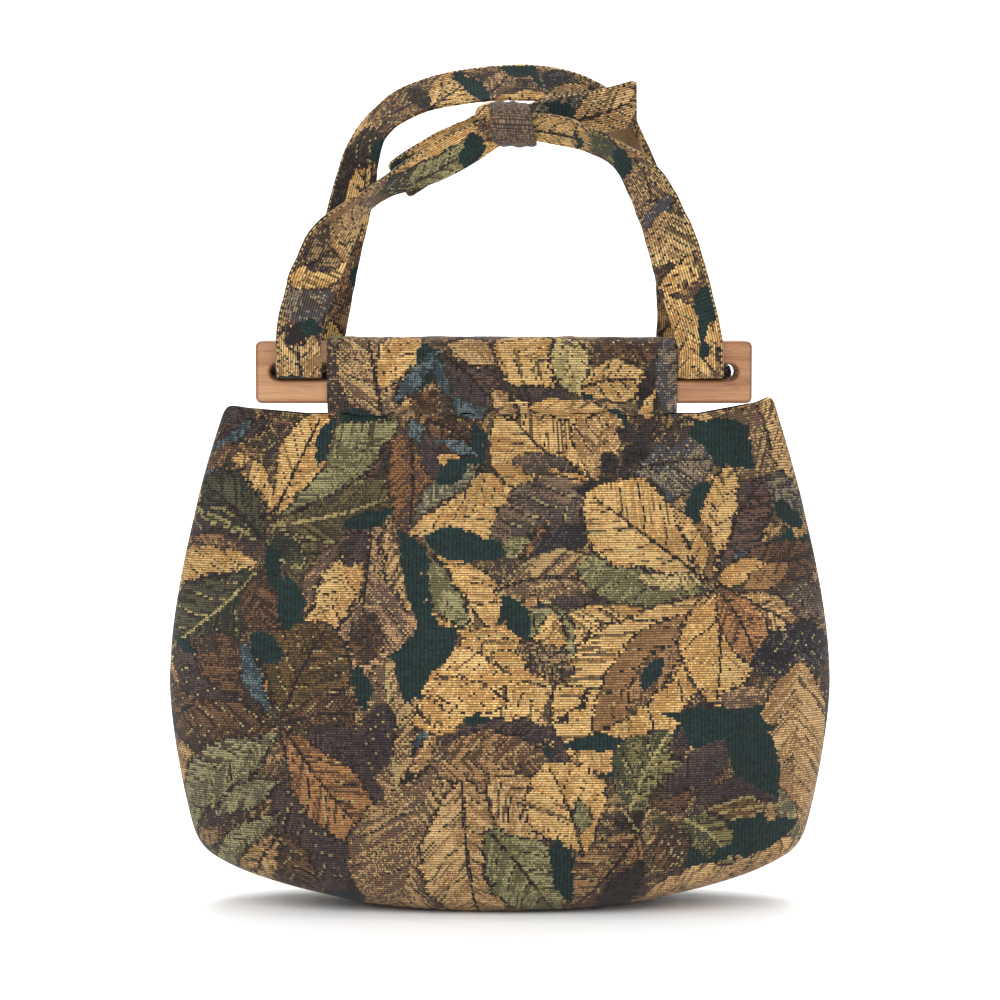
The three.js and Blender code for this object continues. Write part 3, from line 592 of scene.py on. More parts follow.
def leaf_row(x0, z0, x1, z1, width, thread="ground", marks="", bow=0, belly=0.5):
    """A row of a chart with the values that it leaves out."""
    return x0, z0, x1, z1, width, bow, belly, thread, marks


def leaf_place(leaf, number, cx, cz, repeat):
    """Where cloth points lie on a leaf: along it, across it, its half width there, and its length."""
    x0, z0, x1, z1, width, bow, belly = leaf[:7]
    length = math.hypot(x1 - x0, z1 - z0)
    ux, uz = (x1 - x0) / length, (z1 - z0) / length
    dx = wrapped(cx, (x0 + x1) / 2, repeat[0]) - x0
    dz = wrapped(cz, (z0 + z1) / 2, repeat[1]) - z0
    along = (dx * ux + dz * uz) / length
    inside = np.clip(along, 0, 1)
    across = -dx * uz + dz * ux - 4 * bow * inside * (1 - inside)
    power = math.log(0.5) / math.log(belly)
    half = width / 2 * np.sin(math.pi * inside**power) ** 0.8
    row = np.floor(cz / RIB)
    jag = fraction_hash(row, np.sign(across) * 3 + number, 5) - 0.5
    wave = smooth_noise(along * length / 6, np.sign(across) * 7 + number, 9) - 0.5
    half = half + (1.3 * jag + 2.6 * wave) * (half > 0.8)
    half[(along < 0) | (along > 1)] = -1
    return inside, across, half, length


CLOTH_CHART = ([leaf_row(*row) for row in GROUND + LEAVES], UNDERLAY, CLOTH_REPEAT)
TAPE_CHART = ([leaf_row(*row) for row in TAPE_LEAVES], TAPE_UNDERLAY, TAPE_REPEAT)


def paint(cx, cz, seed=1, chart=CLOTH_CHART):
    """Eight values for each cloth point at cx, cz: main colour, strength of the ribs, second colour and its
    share."""
    leaves, underlay, repeat = chart
    row, column = np.floor(cz / RIB), np.floor(cx / THREAD)
    broken = fraction_hash(row, column, 3)
    drift = smooth_noise(cx / 21, cz / 17, 41) * 0.6 + smooth_noise((cx + cz) / 9, (cx - cz) / 3, 43) * 0.6
    level = np.clip(((drift - 0.15) * 1.15 * len(underlay)).astype(int), 0, len(underlay) - 1)
    main, second, ribs = (np.array([THREADS[name][k] for name in underlay], float)[level] for k in (0, 1, 4))
    share = np.clip(0.5 + 1.2 * (smooth_noise(cx / 7, cz / 2.2, 47) - 0.5), 0.05, 0.95)
    bare = np.zeros(cx.size, bool)
    for number, leaf in enumerate(leaves):
        x0, z0, x1, z1, width, bow, _, thread, marks = leaf
        base = THREADS[thread]
        reach = math.hypot(x1 - x0, z1 - z0) / 2 + abs(bow) + 6
        dx = wrapped(cx, (x0 + x1) / 2, repeat[0]) - (x0 + x1) / 2
        dz = wrapped(cz, (z0 + z1) / 2, repeat[1]) - (z0 + z1) / 2
        near = np.flatnonzero(dx * dx + dz * dz < max(reach, width / 2 + 6) ** 2)
        if not len(near):
            continue
        inside, across, half, length = leaf_place(leaf, number, cx[near], cz[near], repeat)
        gap, side, gapped = np.abs(across), np.sign(across), broken[near]
        edge = half - gap
        if thread == "ground":
            on = near[edge > 0]
            main[on], second[on], share[on], ribs[on], bare[on] = base[0], base[1], base[2], base[4], True
            continue
        outline = (edge <= 0) & (edge > -1.5) & (half > 0) & ~bare[near] & (gapped > 0.3)
        main[near[outline]], second[near[outline]] = DARK_LINE, THREADS["brownblack"][0]
        inner = edge > 0
        on = near[inner]
        if not len(on):
            continue
        inside, across, half, edge = inside[inner], across[inner], half[inner], edge[inner]
        gap, side, gapped = gap[inner], side[inner], gapped[inner]
        slant = inside * length - 0.95 * gap
        grain = smooth_noise(slant / 2.1 + 13 * number, gap / 10 + 5 * side, 21)
        blotch = smooth_noise(inside * length / 13 + 7 * number, across / 9, 27)
        lit = 0.16 if number % 2 else -0.16
        mixed = base[2] + 1.15 * (grain - 0.5) + 0.9 * (blotch - 0.5) + lit * side
        mixed = mixed + 0.35 * np.exp(-inside * length / 7)
        stroke = smooth_noise(slant / 1.25 + 31 * number, gap / 15 + 9 * side, 33)
        stroke = stroke + 0.25 * (blotch - 0.5)
        main[on], second[on] = base[0], base[1]
        share[on], ribs[on], bare[on] = np.clip(mixed, 0.02, 0.95), base[4], False
        dark = stroke < STROKES * (0.55 + 1.6 * base[3])
        main[on[dark]] = main[on[dark]] * 0.45 + np.array(DARK_LINE) * 0.25
        line = np.zeros(len(on), int)
        if length > 26 and width > 15:
            spacing = length / (5.5 if "s" in marks else 4.2)
            bent = slant + 1.1 * np.sin(gap / 2.6 + number)
            beside = (bent + spacing * 0.4 + 0.25 * spacing * side) % spacing
            solid = 0.15 if "s" in marks else 0.42
            line[(beside < VEIN) & (gapped > solid) & (inside < 0.85) & (edge > 1.5)] = 1
            if "s" in marks:
                line[(beside > spacing - VEIN) & (gapped > 0.45) & (inside < 0.85) & (edge > 2)] = 2
        if "m" in marks:
            line[(gap < VEIN * (1.05 - 0.6 * inside)) & (inside < 0.95) & (gapped > 0.06)] = 1
        if "l" in marks:
            line[(gap < VEIN * 0.75) & (gapped > 0.15)] = 2
        if "k" in marks:
            line[(edge < EDGE_LINE) & (gapped > 0.35)] = 1
        if "o" in marks:
            line[(edge < EDGE_LINE) & (gapped > 0.25)] = 2
        for kind, colour in ((1, DARK_LINE), (2, LIGHT_LINE)):
            drawn = on[line == kind]
            second[drawn] = 0.5 * np.array(colour) + 0.5 * main[drawn]
            main[drawn] = colour
            share[drawn] = 0.22
    light = 0.93 + 0.14 * smooth_noise(cx / 30, cz / 30, seed + 29)
    light = light * (0.92 + 0.16 * fraction_hash(row, np.floor(cx / 7 + 3 * row), seed + 31))
    main = np.clip(main * light[:, None] / 255, 0, 1)
    second = np.clip(second * light[:, None] / 255, 0, 1)
    return np.column_stack([main, ribs, second, share])


def spline(table, places):
    """Points on a centripetal Catmull-Rom curve through the rows of a table, at places from 0 to 1."""
    rows = np.asarray(table, float)
    rows = np.vstack([2 * rows[0] - rows[1], rows, 2 * rows[-1] - rows[-2]])
    spans = len(rows) - 3
    place = np.clip(np.asarray(places, float), 0, 1) * spans
    k = np.minimum(place.astype(int), spans - 1)
    t = (place - k)[:, None]
    p0, p1, p2, p3 = (rows[k + step] for step in range(4))
    d0, d1, d2 = (
        np.sqrt(np.linalg.norm(b - a, axis=1, keepdims=True)) for a, b in ((p0, p1), (p1, p2), (p2, p3))
    )
    d1 = np.where(d1 < SMALL_SPAN, 1.0, d1)
    d0, d2 = np.where(d0 < SMALL_SPAN, d1, d0), np.where(d2 < SMALL_SPAN, d1, d2)
    start = ((p1 - p0) / d0 - (p2 - p0) / (d0 + d1) + (p2 - p1) / d1) * d1
    finish = ((p2 - p1) / d1 - (p3 - p1) / (d1 + d2) + (p3 - p2) / d2) * d1
    a = 2 * p1 - 2 * p2 + start + finish
    b = -3 * p1 + 3 * p2 - 2 * start - finish
    return ((a * t + b) * t + start) * t + p1


def smoothstep(low, high, value):
    share = np.clip((value - low) / (high - low), 0, 1)
    return share * share * (3 - 2 * share)


class Sheets:
    """Grids of points gathered into one mesh, with cloth coordinates and thread colours on every face."""

    def __init__(self):
        self.points, self.faces, self.cloth, self.colours, self.slots = [], [], [], [], []
        self.count = 0

    def add(self, grid, cloth=None, slot=0, wrap=False, flip=False, seed=1, thread=None, chart=CLOTH_CHART):
        rows, columns = grid.shape[:2]
        index = np.arange(rows * columns).reshape(rows, columns) + self.count
        if wrap:
            index = np.hstack([index, index[:, :1]])
        if cloth is None:
            place = np.arange(index.shape[1]) * 1.0
            cloth = np.stack(np.meshgrid(place, np.arange(rows) * 1.0), -1)
        order = [(0, 0), (1, 0), (1, 1), (0, 1)]
        if flip:
            order.reverse()
        high, wide = index.shape[0] - 1, index.shape[1] - 1
        corners = [index[i:i + high, j:j + wide].ravel() for i, j in order]
        places = [cloth[i:i + high, j:j + wide].reshape(-1, 2) for i, j in order]
        faces = np.stack(corners, 1)
        self.points.append(grid.reshape(-1, 3))
        self.faces.append(faces)
        self.cloth.append(np.stack(places, 1))
        middle = np.mean(places, 0)
        if slot == 0:
            self.colours.append(paint(middle[:, 0], middle[:, 1], seed, chart))
            if thread:
                main, second, share = THREADS[thread][:3]
                self.colours[-1][:] = [*np.array(main) / 255, 0.5, *np.array(second) / 255, share]
        else:
            self.colours.append(np.full((len(faces), 8), 0.5))
        self.slots.append(np.full(len(faces), slot))
        self.count += rows * columns

    def piece(self, name, node, materials, slot):
        mesh = bpy.data.meshes.new(name)
        points, faces = np.vstack(self.points) * MM, np.vstack(self.faces)
        mesh.from_pydata(points.tolist(), [], faces.tolist())
        mesh.uv_layers.new(name="cloth").data.foreach_set("uv", np.vstack(self.cloth).ravel())
        threads = np.repeat(np.vstack(self.colours), 4, axis=0)
        for layer, part in (("thread", threads[:, :4]), ("weft", threads[:, 4:])):
            layer_colours = mesh.color_attributes.new(layer, "BYTE_COLOR", "CORNER").data
            layer_colours.foreach_set("color_srgb", part.ravel())
        for material in materials:
            mesh.materials.append(material)
        mesh.polygons.foreach_set("material_index", np.concatenate(self.slots).astype(np.int32))
        mesh.polygons.foreach_set("use_smooth", np.ones(len(faces), bool))
        mesh.update()
        return place_piece(bpy.data.objects.new(name, mesh), node)


def place_piece(piece, node):
    bpy.context.scene.collection.objects.link(piece)
    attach(piece, "root")
    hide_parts(node)
    return piece


# Materials


class Nodes:
    """Short ways to add shader nodes to one material."""

    def __init__(self, name):
        self.material = bpy.data.materials.new(name)
        self.material.use_nodes = True
        self.tree = self.material.node_tree
        self.shader = self.tree.nodes["Principled BSDF"]

    def add(self, kind, **settings):
        node = self.tree.nodes.new(kind)
        for key, value in settings.items():
            setattr(node, key, value)
        return node

    def join(self, value, socket):
        if isinstance(value, (int, float, tuple)):
            socket.default_value = value
        else:
            self.tree.links.new(value, socket)

    def math(self, operation, a, b=0.0, c=0.0):
        node = self.add("ShaderNodeMath", operation=operation)
        for value, socket in zip((a, b, c), node.inputs):
            self.join(value, socket)
        return node.outputs[0]

    def mix(self, factor, a, b, blend="MIX"):
        node = self.add("ShaderNodeMix", data_type="RGBA", blend_type=blend)
        self.join(factor, node.inputs[0])
        self.join(a, node.inputs[6])
        self.join(b, node.inputs[7])
        return node.outputs[2]

    def blend(self, factor, a, b):
        node = self.add("ShaderNodeMix", data_type="FLOAT")
        for value, place in ((factor, 0), (a, 2), (b, 3)):
            self.join(value, node.inputs[place])
        return node.outputs[0]

    def span(self, value, low, high):
        """Where a value lies between two others, kept to 0 and 1."""
        node = self.add("ShaderNodeMapRange")
        self.join(value, node.inputs["Value"])
        node.inputs["From Min"].default_value = low
        node.inputs["From Max"].default_value = high
        return node.outputs[0]

    def wave(self, place, pitch, low, high):
        """0 in the gap between two threads of a pitch, rising to 1 on them."""
        turns = self.math("COSINE", self.math("MULTIPLY", place, 2 * math.pi / pitch))
        return self.span(self.math("MULTIPLY_ADD", turns, -0.5, 0.5), low, high)

    def cell(self, x, y, z):
        """A random value for each cell of a grid."""
        corner = self.add("ShaderNodeCombineXYZ")
        for value, socket in zip((self.math("FLOOR", x), y, z), corner.inputs):
            self.join(value, socket)
        node = self.add("ShaderNodeTexWhiteNoise", noise_dimensions="3D")
        self.join(corner.outputs[0], node.inputs["Vector"])
        return node.outputs["Value"]

    def grey(self, value):
        node = self.add("ShaderNodeCombineColor")
        for socket in node.inputs:
            self.join(value, socket)
        return node.outputs[0]

    def noise(self, vector, scale, detail=2.0, rough=0.5):
        node = self.add("ShaderNodeTexNoise")
        self.join(vector, node.inputs["Vector"])
        node.inputs["Scale"].default_value = scale
        node.inputs["Detail"].default_value = detail
        node.inputs["Roughness"].default_value = rough
        return node.outputs["Fac"]

    def scaled(self, vector, scale):
        node = self.add("ShaderNodeMapping")
        self.join(vector, node.inputs["Vector"])
        node.inputs["Scale"].default_value = scale
        return node.outputs["Vector"]

    def ramp(self, value, stops):
        node = self.add("ShaderNodeValToRGB")
        self.join(value, node.inputs[0])
        while len(node.color_ramp.elements) < len(stops):
            node.color_ramp.elements.new(0.5)
        for element, (place, colour) in zip(node.color_ramp.elements, stops):
            element.position = place
            element.color = linear(colour)
        return node.outputs[0]

    def bump(self, height, distance, strength):
        node = self.add("ShaderNodeBump")
        self.join(height, node.inputs["Height"])
        node.inputs["Distance"].default_value = distance
        node.inputs["Strength"].default_value = strength
        self.tree.links.new(node.outputs[0], self.shader.inputs["Normal"])


def linear(colour):
    """An sRGB colour given from 0 to 255 as linear values with full alpha."""
    parts = [c / 255 for c in colour]
    return (*[p / 12.92 if p <= 0.04045 else ((p + 0.055) / 1.055) ** 2.4 for p in parts], 1.0)


def tapestry_material():
    """Ribs of floating threads over a dark warp: the shader picks each thread's colour from the two that the
    mesh carries, and draws the gaps between the ribs and the warp's lines."""
    n = Nodes("tapestry")
    main = n.add("ShaderNodeAttribute", attribute_name="thread")
    weft = n.add("ShaderNodeAttribute", attribute_name="weft")
    cloth = n.add("ShaderNodeUVMap", uv_map="cloth")
    split = n.add("ShaderNodeSeparateXYZ")
    n.tree.links.new(cloth.outputs[0], split.inputs[0])
    u, v = split.outputs[0], split.outputs[1]
    row = n.math("FLOOR", n.math("DIVIDE", v, RIB))
    tuft = n.cell(n.math("DIVIDE", u, TUFT), row, 0.0)
    tie = n.cell(n.math("MULTIPLY_ADD", row, 0.5, n.math("DIVIDE", u, WARP)), row, 7.0)
    is_main = n.math("LESS_THAN", tuft, weft.outputs["Alpha"])
    colour = n.mix(is_main, main.outputs["Color"], weft.outputs["Color"])
    kind = main.outputs["Alpha"]
    rib = n.wave(v, RIB, 0.03, 0.5)
    warp = n.wave(u, WARP, 0.0, 0.55)
    ground_warp = n.wave(u, GROUND_WARP, 0.0, 0.5)
    grid = n.math("MULTIPLY", rib, n.math("MULTIPLY_ADD", warp, 0.5, 0.5))
    tied = n.math("GREATER_THAN", tie, 0.12)
    floats = n.math("MULTIPLY", rib, n.math("MULTIPLY_ADD", n.math("MAXIMUM", warp, tied), 0.6, 0.4))
    ground_lines = n.math("MULTIPLY_ADD", ground_warp, 0.6, 0.4)
    ground = n.math("MULTIPLY", ground_lines, n.math("MULTIPLY_ADD", rib, 0.2, 0.8))
    raised = n.blend(n.span(kind, 0.5, 1.0), grid, floats)
    level = n.blend(n.span(kind, 0.0, 0.5), ground, raised)
    glint = n.math("GREATER_THAN", tuft, 0.965)
    bright = n.math("MULTIPLY_ADD", glint, 0.35, n.math("MULTIPLY_ADD", tie, 0.16, 0.92))
    lit = n.mix(1.0, colour, n.grey(bright), "MULTIPLY")
    gap = n.mix(1.0, colour, linear(GAP_SHADE), "MULTIPLY")
    n.tree.links.new(n.mix(level, gap, lit), n.shader.inputs["Base Color"])
    n.shader.inputs["Roughness"].default_value = 0.88
    n.shader.inputs["Specular IOR Level"].default_value = 0.22
    n.shader.inputs["Sheen Weight"].default_value = 0.1
    n.shader.inputs["Sheen Roughness"].default_value = 0.5
    n.bump(n.math("MULTIPLY_ADD", tie, 0.3, level), 0.35 * MM, 0.8)
    return n.material


def reverse_material(name, light, dark):
    """The plain side of the cloth: a fine even weave."""
    n = Nodes(name)
    place = n.add("ShaderNodeTexCoord").outputs["Object"]
    fine = n.noise(n.scaled(place, (1400, 1400, 1400)), 1.0, 1.0)
    patch = n.noise(n.scaled(place, (60, 60, 60)), 1.0, 3.0)
    both = n.math("MULTIPLY_ADD", patch, 0.5, n.math("MULTIPLY", fine, 0.5))
    colour = n.ramp(both, [(0.3, dark), (0.7, light)])
    n.tree.links.new(colour, n.shader.inputs["Base Color"])
    n.shader.inputs["Roughness"].default_value = 0.9
    n.shader.inputs["Specular IOR Level"].default_value = 0.2
    n.bump(fine, 0.2 * MM, 0.6)
    return n.material


def wood_material():
    n = Nodes("bar_wood")
    place = n.add("ShaderNodeTexCoord").outputs["Object"]
    bend = n.noise(n.scaled(place, (9, 30, 30)), 1.0, 2.0)
    grain = n.noise(n.scaled(place, (14, 260, 420)), 1.0, 5.0, 0.62)
    pores = n.noise(n.scaled(place, (90, 1500, 2300)), 1.0, 2.0)
    figure = n.math("MULTIPLY_ADD", bend, 0.45, n.math("MULTIPLY", grain, 0.55))
    colour = n.ramp(figure, [(0.34, (134, 90, 60)), (0.5, (168, 122, 86)), (0.68, (190, 146, 108))])
    pore_mask = n.ramp(pores, [(0.3, (120, 120, 120)), (0.42, (255, 255, 255))])
    colour = n.mix(0.55, colour, n.mix(1.0, colour, pore_mask, "MULTIPLY"))
    # Painted shade: where the normal turns from the front, on the rounded edges and ends, the wood is
    # darkened for the shade on them and a darker stain there.
    normal = n.add("ShaderNodeSeparateXYZ")
    n.tree.links.new(n.add("ShaderNodeTexCoord").outputs["Normal"], normal.inputs[0])
    facing_for_painted_shade = n.math("ABSOLUTE", normal.outputs[1])
    dark = n.mix(1.0, colour, linear((202, 184, 172)), "MULTIPLY")
    colour = n.mix(n.span(facing_for_painted_shade, 0.995, 0.8), colour, dark)
    n.tree.links.new(colour, n.shader.inputs["Base Color"])
    n.tree.links.new(n.math("MULTIPLY_ADD", grain, 0.2, 0.34), n.shader.inputs["Roughness"])
    n.shader.inputs["Specular IOR Level"].default_value = 0.4
    n.bump(n.math("ADD", grain, n.math("MULTIPLY", pores, 0.6)), 0.12 * MM, 0.35)
    return n.material


# Body


def mouth_rise(x, half_width):
    """How far the mouth's edge rises towards each corner, as on the solid panels."""
    side = np.where(x < 0, -1.0, 1.0)
    rise = np.where(x < 0, CORNER_RISE[-1], CORNER_RISE[1])
    far = np.abs(x)
    bar_end = BAR_LENGTH / 2 + side * BAR_X + 0.3
    start = CASING_WIDTH / 2 + side * CASING_X + SIDE_STEP
    under_bar = np.clip((far - start) / (bar_end - start), 0, 1)
    past_bar = smoothstep(bar_end, half_width - CORNER_ROUND / 2, far)
    climb = RISE_BELOW_BAR * under_bar + (1 - RISE_BELOW_BAR) * past_bar
    dip = np.maximum(0, 1 - (half_width - far) / CORNER_ROUND) ** 2
    return rise * climb - (rise + CORNER_ROUND / 2) * dip


def fold_depth(x, z, folds):
    depth = np.zeros_like(x)
    for across, up, reach_x, reach_z, sink in folds:
        dx = (x - across * BODY_WIDTH / 2) / (reach_x * BODY_WIDTH / 2)
        dz = (z - up * BODY_HEIGHT) / (reach_z * BODY_HEIGHT)
        depth += sink * BODY_DEPTH * np.exp(-dx * dx - dz * dz)
    return depth


def slack(x, z, seed):
    """Small swellings of the cloth: gathers below the casing and gentle waves elsewhere, in millimetres."""
    below = np.maximum(BODY_HEIGHT - z, 0)
    held = smoothstep(CASING_WIDTH / 2 + 6, CASING_WIDTH / 2 - 6, np.abs(x - CASING_X))
    gathers = smooth_noise(x / 5.5 + 40, below / 40, seed) + 0.6 * smooth_noise(x / 2.8, below / 30, seed + 1)
    gathers = (gathers - 0.8) * 2.4 * np.exp(-below / 11) * held
    waves = (smooth_noise(x / 26 + 9, z / 30 + 9, seed + 2) - 0.5) * 2.4
    creases = (smooth_noise(x / 9 + 5, z / 34, seed + 3) - 0.5) * 0.9
    return gathers + waves + creases


def panel_row(side, folds, wide, deep, up, square, columns, seed):
    half_width, half_depth = wide * BODY_WIDTH / 2, deep * BODY_DEPTH / 2
    angle = np.linspace(0, math.pi, 721)
    x = -np.sign(np.cos(angle)) * np.abs(np.cos(angle)) ** (2 / square) * half_width
    out = np.maximum(0, np.sin(angle)) ** (2 / square)
    steps = np.hypot(np.diff(x), np.diff(half_depth * out))
    run = np.concatenate([[0], np.cumsum(steps)])
    even = np.linspace(0, run[-1], columns + 1)
    x, out = np.interp(even, run, x), np.interp(even, run, out)
    z = up * BODY_HEIGHT
    face = np.minimum(1, 2 * out)
    swell = slack(x, z + 0 * x, seed) * face * smoothstep(0.02, 0.12, up)
    y = half_depth * out - fold_depth(x, z + 0 * x, folds) * face + swell
    z = np.maximum(0, z + mouth_rise(x, half_width) * smoothstep(0.8, 1, np.array(up)))
    middle = np.interp(0, x, even)
    return np.stack([x, side * np.maximum(y, 0.05), z], 1), even - middle


def panel_outline(count):
    """Places on the table of sections, from the mouth to the sole, evenly spaced down the cloth."""
    fine = np.linspace(1, 0, 1500)
    curve = spline(BODY_SECTIONS[:, [1, 2, 0]], fine)
    steps = np.hypot(np.diff(curve[:, 1]) * BODY_DEPTH / 2, np.diff(curve[:, 2]) * BODY_HEIGHT)
    corner = np.abs(np.diff(curve[:, 0])) * BODY_WIDTH / 2 * 0.35
    run = np.concatenate([[0], np.cumsum(np.hypot(steps, corner))])
    even = np.linspace(0, run[-1], count)
    place = np.interp(even, run, fine)
    curve = spline(BODY_SECTIONS[:, [1, 2, 0]], place)
    square = np.interp(place * (len(BODY_SECTIONS) - 1), np.arange(len(BODY_SECTIONS)), BODY_SECTIONS[:, 3])
    fall = np.concatenate([[0], np.cumsum(
        np.hypot(np.diff(curve[:, 1]) * BODY_DEPTH / 2, np.diff(curve[:, 2]) * BODY_HEIGHT)
    )])
    return curve, square, fall


def make_panel(side, folds, name, seed):
    curve, square, fall = panel_outline(PANEL_ROWS)
    grid, cloth = [], []
    for (wide, deep, up), power, down in zip(curve, square, fall):
        points, along = panel_row(side, folds, wide, deep, max(up, 0), power, PANEL_COLUMNS, seed)
        grid.append(points)
        cloth.append(np.stack([along * ROUND_SHARE, BODY_HEIGHT - down * DOWN_SHARE + 0 * along], 1))
    grid, cloth = np.array(grid), np.array(cloth)
    sole = [
        np.stack([grid[-1, :, 0], grid[-1, :, 1] * share, grid[-1, :, 2]], 1)
        for share in np.linspace(1, 0, SOLE_STEPS)
    ]
    fall_in = [cloth[-1] - [[0, SOLE_REACH * share]] for share in np.linspace(0, 1, SOLE_STEPS)]
    if side > 0:
        cloth[:, :, 0] = BACK_TURN - cloth[:, :, 0]
        fall_in = [np.stack([BACK_TURN - c[:, 0], c[:, 1]], 1) for c in fall_in]
    sheets = Sheets()
    flip = side > 0
    sheets.add(grid, cloth, flip=flip, seed=seed)
    sheets.add(np.array(sole), np.array(fall_in), flip=flip, seed=seed)
    inner = inner_wall(grid[::8], side)
    sheets.add(inner, slot=1, flip=not flip)
    sheets.add(np.array([inner[0], grid[0]]), np.array([cloth[0] + [[0, 2]], cloth[0]]), flip=flip, seed=seed)
    return sheets.piece(name, name[:-6], [TAPESTRY, INSIDE], "body_tapestry")


def inner_wall(grid, side):
    fall, run = np.gradient(grid, axis=0), np.gradient(grid, axis=1)
    normal = np.cross(run, fall) * side
    normal /= np.maximum(np.linalg.norm(normal, axis=2, keepdims=True), 1e-9)
    inner = grid - normal * CLOTH
    inner[:, :, 1] = side * np.maximum(side * inner[:, :, 1], 0.02)
    return inner


# Casings


def casing_loop(count):
    """The section of a sleeve from its seam up the outer face, over the top and down: outward y and z."""
    half = CASING_THICKNESS / 2
    lip = 2.0
    shoulder = 3.4
    turn = np.linspace(0, 1, 20)[:, None]
    foot, elbow = np.array([lip, 0.0]), np.array([half + 0.6, shoulder])
    wall = np.array([half, shoulder + half])
    roll = (1 - turn) ** 2 * foot + 2 * turn * (1 - turn) * elbow + turn**2 * wall
    height = CASING_TOP - CASING_FLOOR
    round_size = half * 0.8
    angle = np.linspace(0, math.pi / 2, 14)
    arc = np.stack([
        half - round_size + round_size * np.cos(angle), height - round_size + round_size * np.sin(angle),
    ], 1)
    outer = np.vstack([roll, arc])
    other = outer[::-1] * [[-1, 1]]
    loop = np.vstack([outer, other])
    steps = np.concatenate([[0], np.cumsum(np.linalg.norm(np.diff(loop, axis=0), axis=1))])
    even = np.linspace(0, steps[-1], count)
    return np.stack([np.interp(even, steps, loop[:, k]) for k in range(2)], 1), even


def make_casing(side, name, seed):
    columns = 146
    loop, run = casing_loop(92)
    outward = np.gradient(loop, axis=0)
    outward = np.stack([outward[:, 1], -outward[:, 0]], 1)
    outward /= np.linalg.norm(outward, axis=1, keepdims=True)
    x = np.linspace(-CASING_WIDTH / 2, CASING_WIDTH / 2, columns)
    foot = np.exp(-loop[:, 1] / 9)
    grid = np.zeros((len(loop), columns, 3))
    for j, across in enumerate(x):
        ripple = smooth_noise(across / 6 + 30 + 0 * run, run / 20, seed) - 0.5
        crease = smooth_noise(across / 11 + 0 * run, run / 7, seed + 1) - 0.5
        puff = 2.2 * ripple * foot + 0.9 * crease + 0.35 * foot
        near_end = math.exp(-(CASING_WIDTH / 2 - abs(across)) / 3)
        place = loop + outward * (puff - 0.5 * near_end)[:, None]
        sag = 1.1 * (smooth_noise(np.array(across / 24 + 3), np.array(0.5), seed + 2) - 0.5)
        grid[:, j, 0] = CASING_X + across
        grid[:, j, 1] = side * (CASING_Y + place[:, 0])
        grid[:, j, 2] = CASING_FLOOR + place[:, 1] + sag * foot
    cloth = np.stack(np.meshgrid(CASING_X + x, CASING_FLOOR + run), -1)
    if side > 0:
        cloth[:, :, 0] = BACK_TURN - cloth[:, :, 0]
    pocket_y = BAR_THICKNESS / 2 + 0.3
    pocket_z = BAR_HEIGHT / 2 + 0.3
    inner = grid.copy()
    inner[:, :, 1] = side * CASING_Y + np.clip(grid[:, :, 1] - side * CASING_Y, -pocket_y, pocket_y)
    inner[:, :, 2] = np.clip(grid[:, :, 2], BAR_Z - pocket_z, BAR_Z + pocket_z)
    sheets = Sheets()
    outside = side < 0
    sheets.add(grid, cloth, flip=outside, seed=seed)
    sheets.add(inner[:, ::columns - 1], slot=1, flip=not outside)
    for j, flip in ((0, outside), (-1, not outside)):
        rim = np.stack([inner[:, j], grid[:, j]], 1)
        edge = np.stack([cloth[:, j] - [[1.5, 0]], cloth[:, j]], 1)
        sheets.add(rim, edge, flip=flip, seed=seed)
    return sheets.piece(name, name[:-6], [TAPESTRY, INSIDE], "casing_tapestry")


# Bars


def outline_points(middle_x, width, height, radius, steps=10):
    points = []
    for quarter, (sx, sz) in enumerate(((1, 1), (-1, 1), (-1, -1), (1, -1))):
        for k in range(steps + 1):
            angle = math.pi / 2 * (quarter + k / steps)
            x = middle_x + sx * (width / 2 - radius) + radius * math.cos(angle)
            points.append((x, sz * (height / 2 - radius) + radius * math.sin(angle)))
    return points


def make_bar(side, name):
    curve = bpy.data.curves.new(name + "_outline", "CURVE")
    curve.dimensions = "2D"
    curve.fill_mode = "BOTH"
    curve.extrude = (BAR_THICKNESS / 2 - BAR_EASING) * MM
    curve.bevel_depth = BAR_EASING * MM
    curve.bevel_resolution = 4
    curve.offset = -BAR_EASING * MM
    outlines = [outline_points(0, BAR_LENGTH, BAR_HEIGHT, BAR_CORNER)]
    for end in (-1, 1):
        slot_x = end * (BAR_LENGTH / 2 - SLOT_INSET - SLOT_LENGTH / 2)
        outlines.append(outline_points(slot_x, SLOT_LENGTH, SLOT_HEIGHT, SLOT_HEIGHT / 2 - 0.01))
    for points in outlines:
        path = curve.splines.new("POLY")
        path.points.add(len(points) - 1)
        path.use_cyclic_u = True
        for spot, (x, z) in zip(path.points, points):
            spot.co = (x * MM, z * MM, 0, 1)
    holder = bpy.data.objects.new(name + "_outline", curve)
    bpy.context.scene.collection.objects.link(holder)
    ready = holder.evaluated_get(bpy.context.evaluated_depsgraph_get())
    mesh = bpy.data.meshes.new_from_object(ready)
    bpy.data.objects.remove(holder)
    bpy.data.curves.remove(curve)
    for vertex in mesh.vertices:
        x, z, y = vertex.co
        vertex.co = Vector((x + BAR_X * MM, y + side * CASING_Y * MM, z + BAR_Z * MM))
    mesh.flip_normals()
    mesh.materials.clear()
    mesh.materials.append(WOOD)
    mesh.polygons.foreach_set("use_smooth", np.ones(len(mesh.polygons), bool))
    mesh.set_sharp_from_angle(angle=math.radians(40))
    mesh.name = name
    return place_piece(bpy.data.objects.new(name, mesh), name[:-5])


# Strap


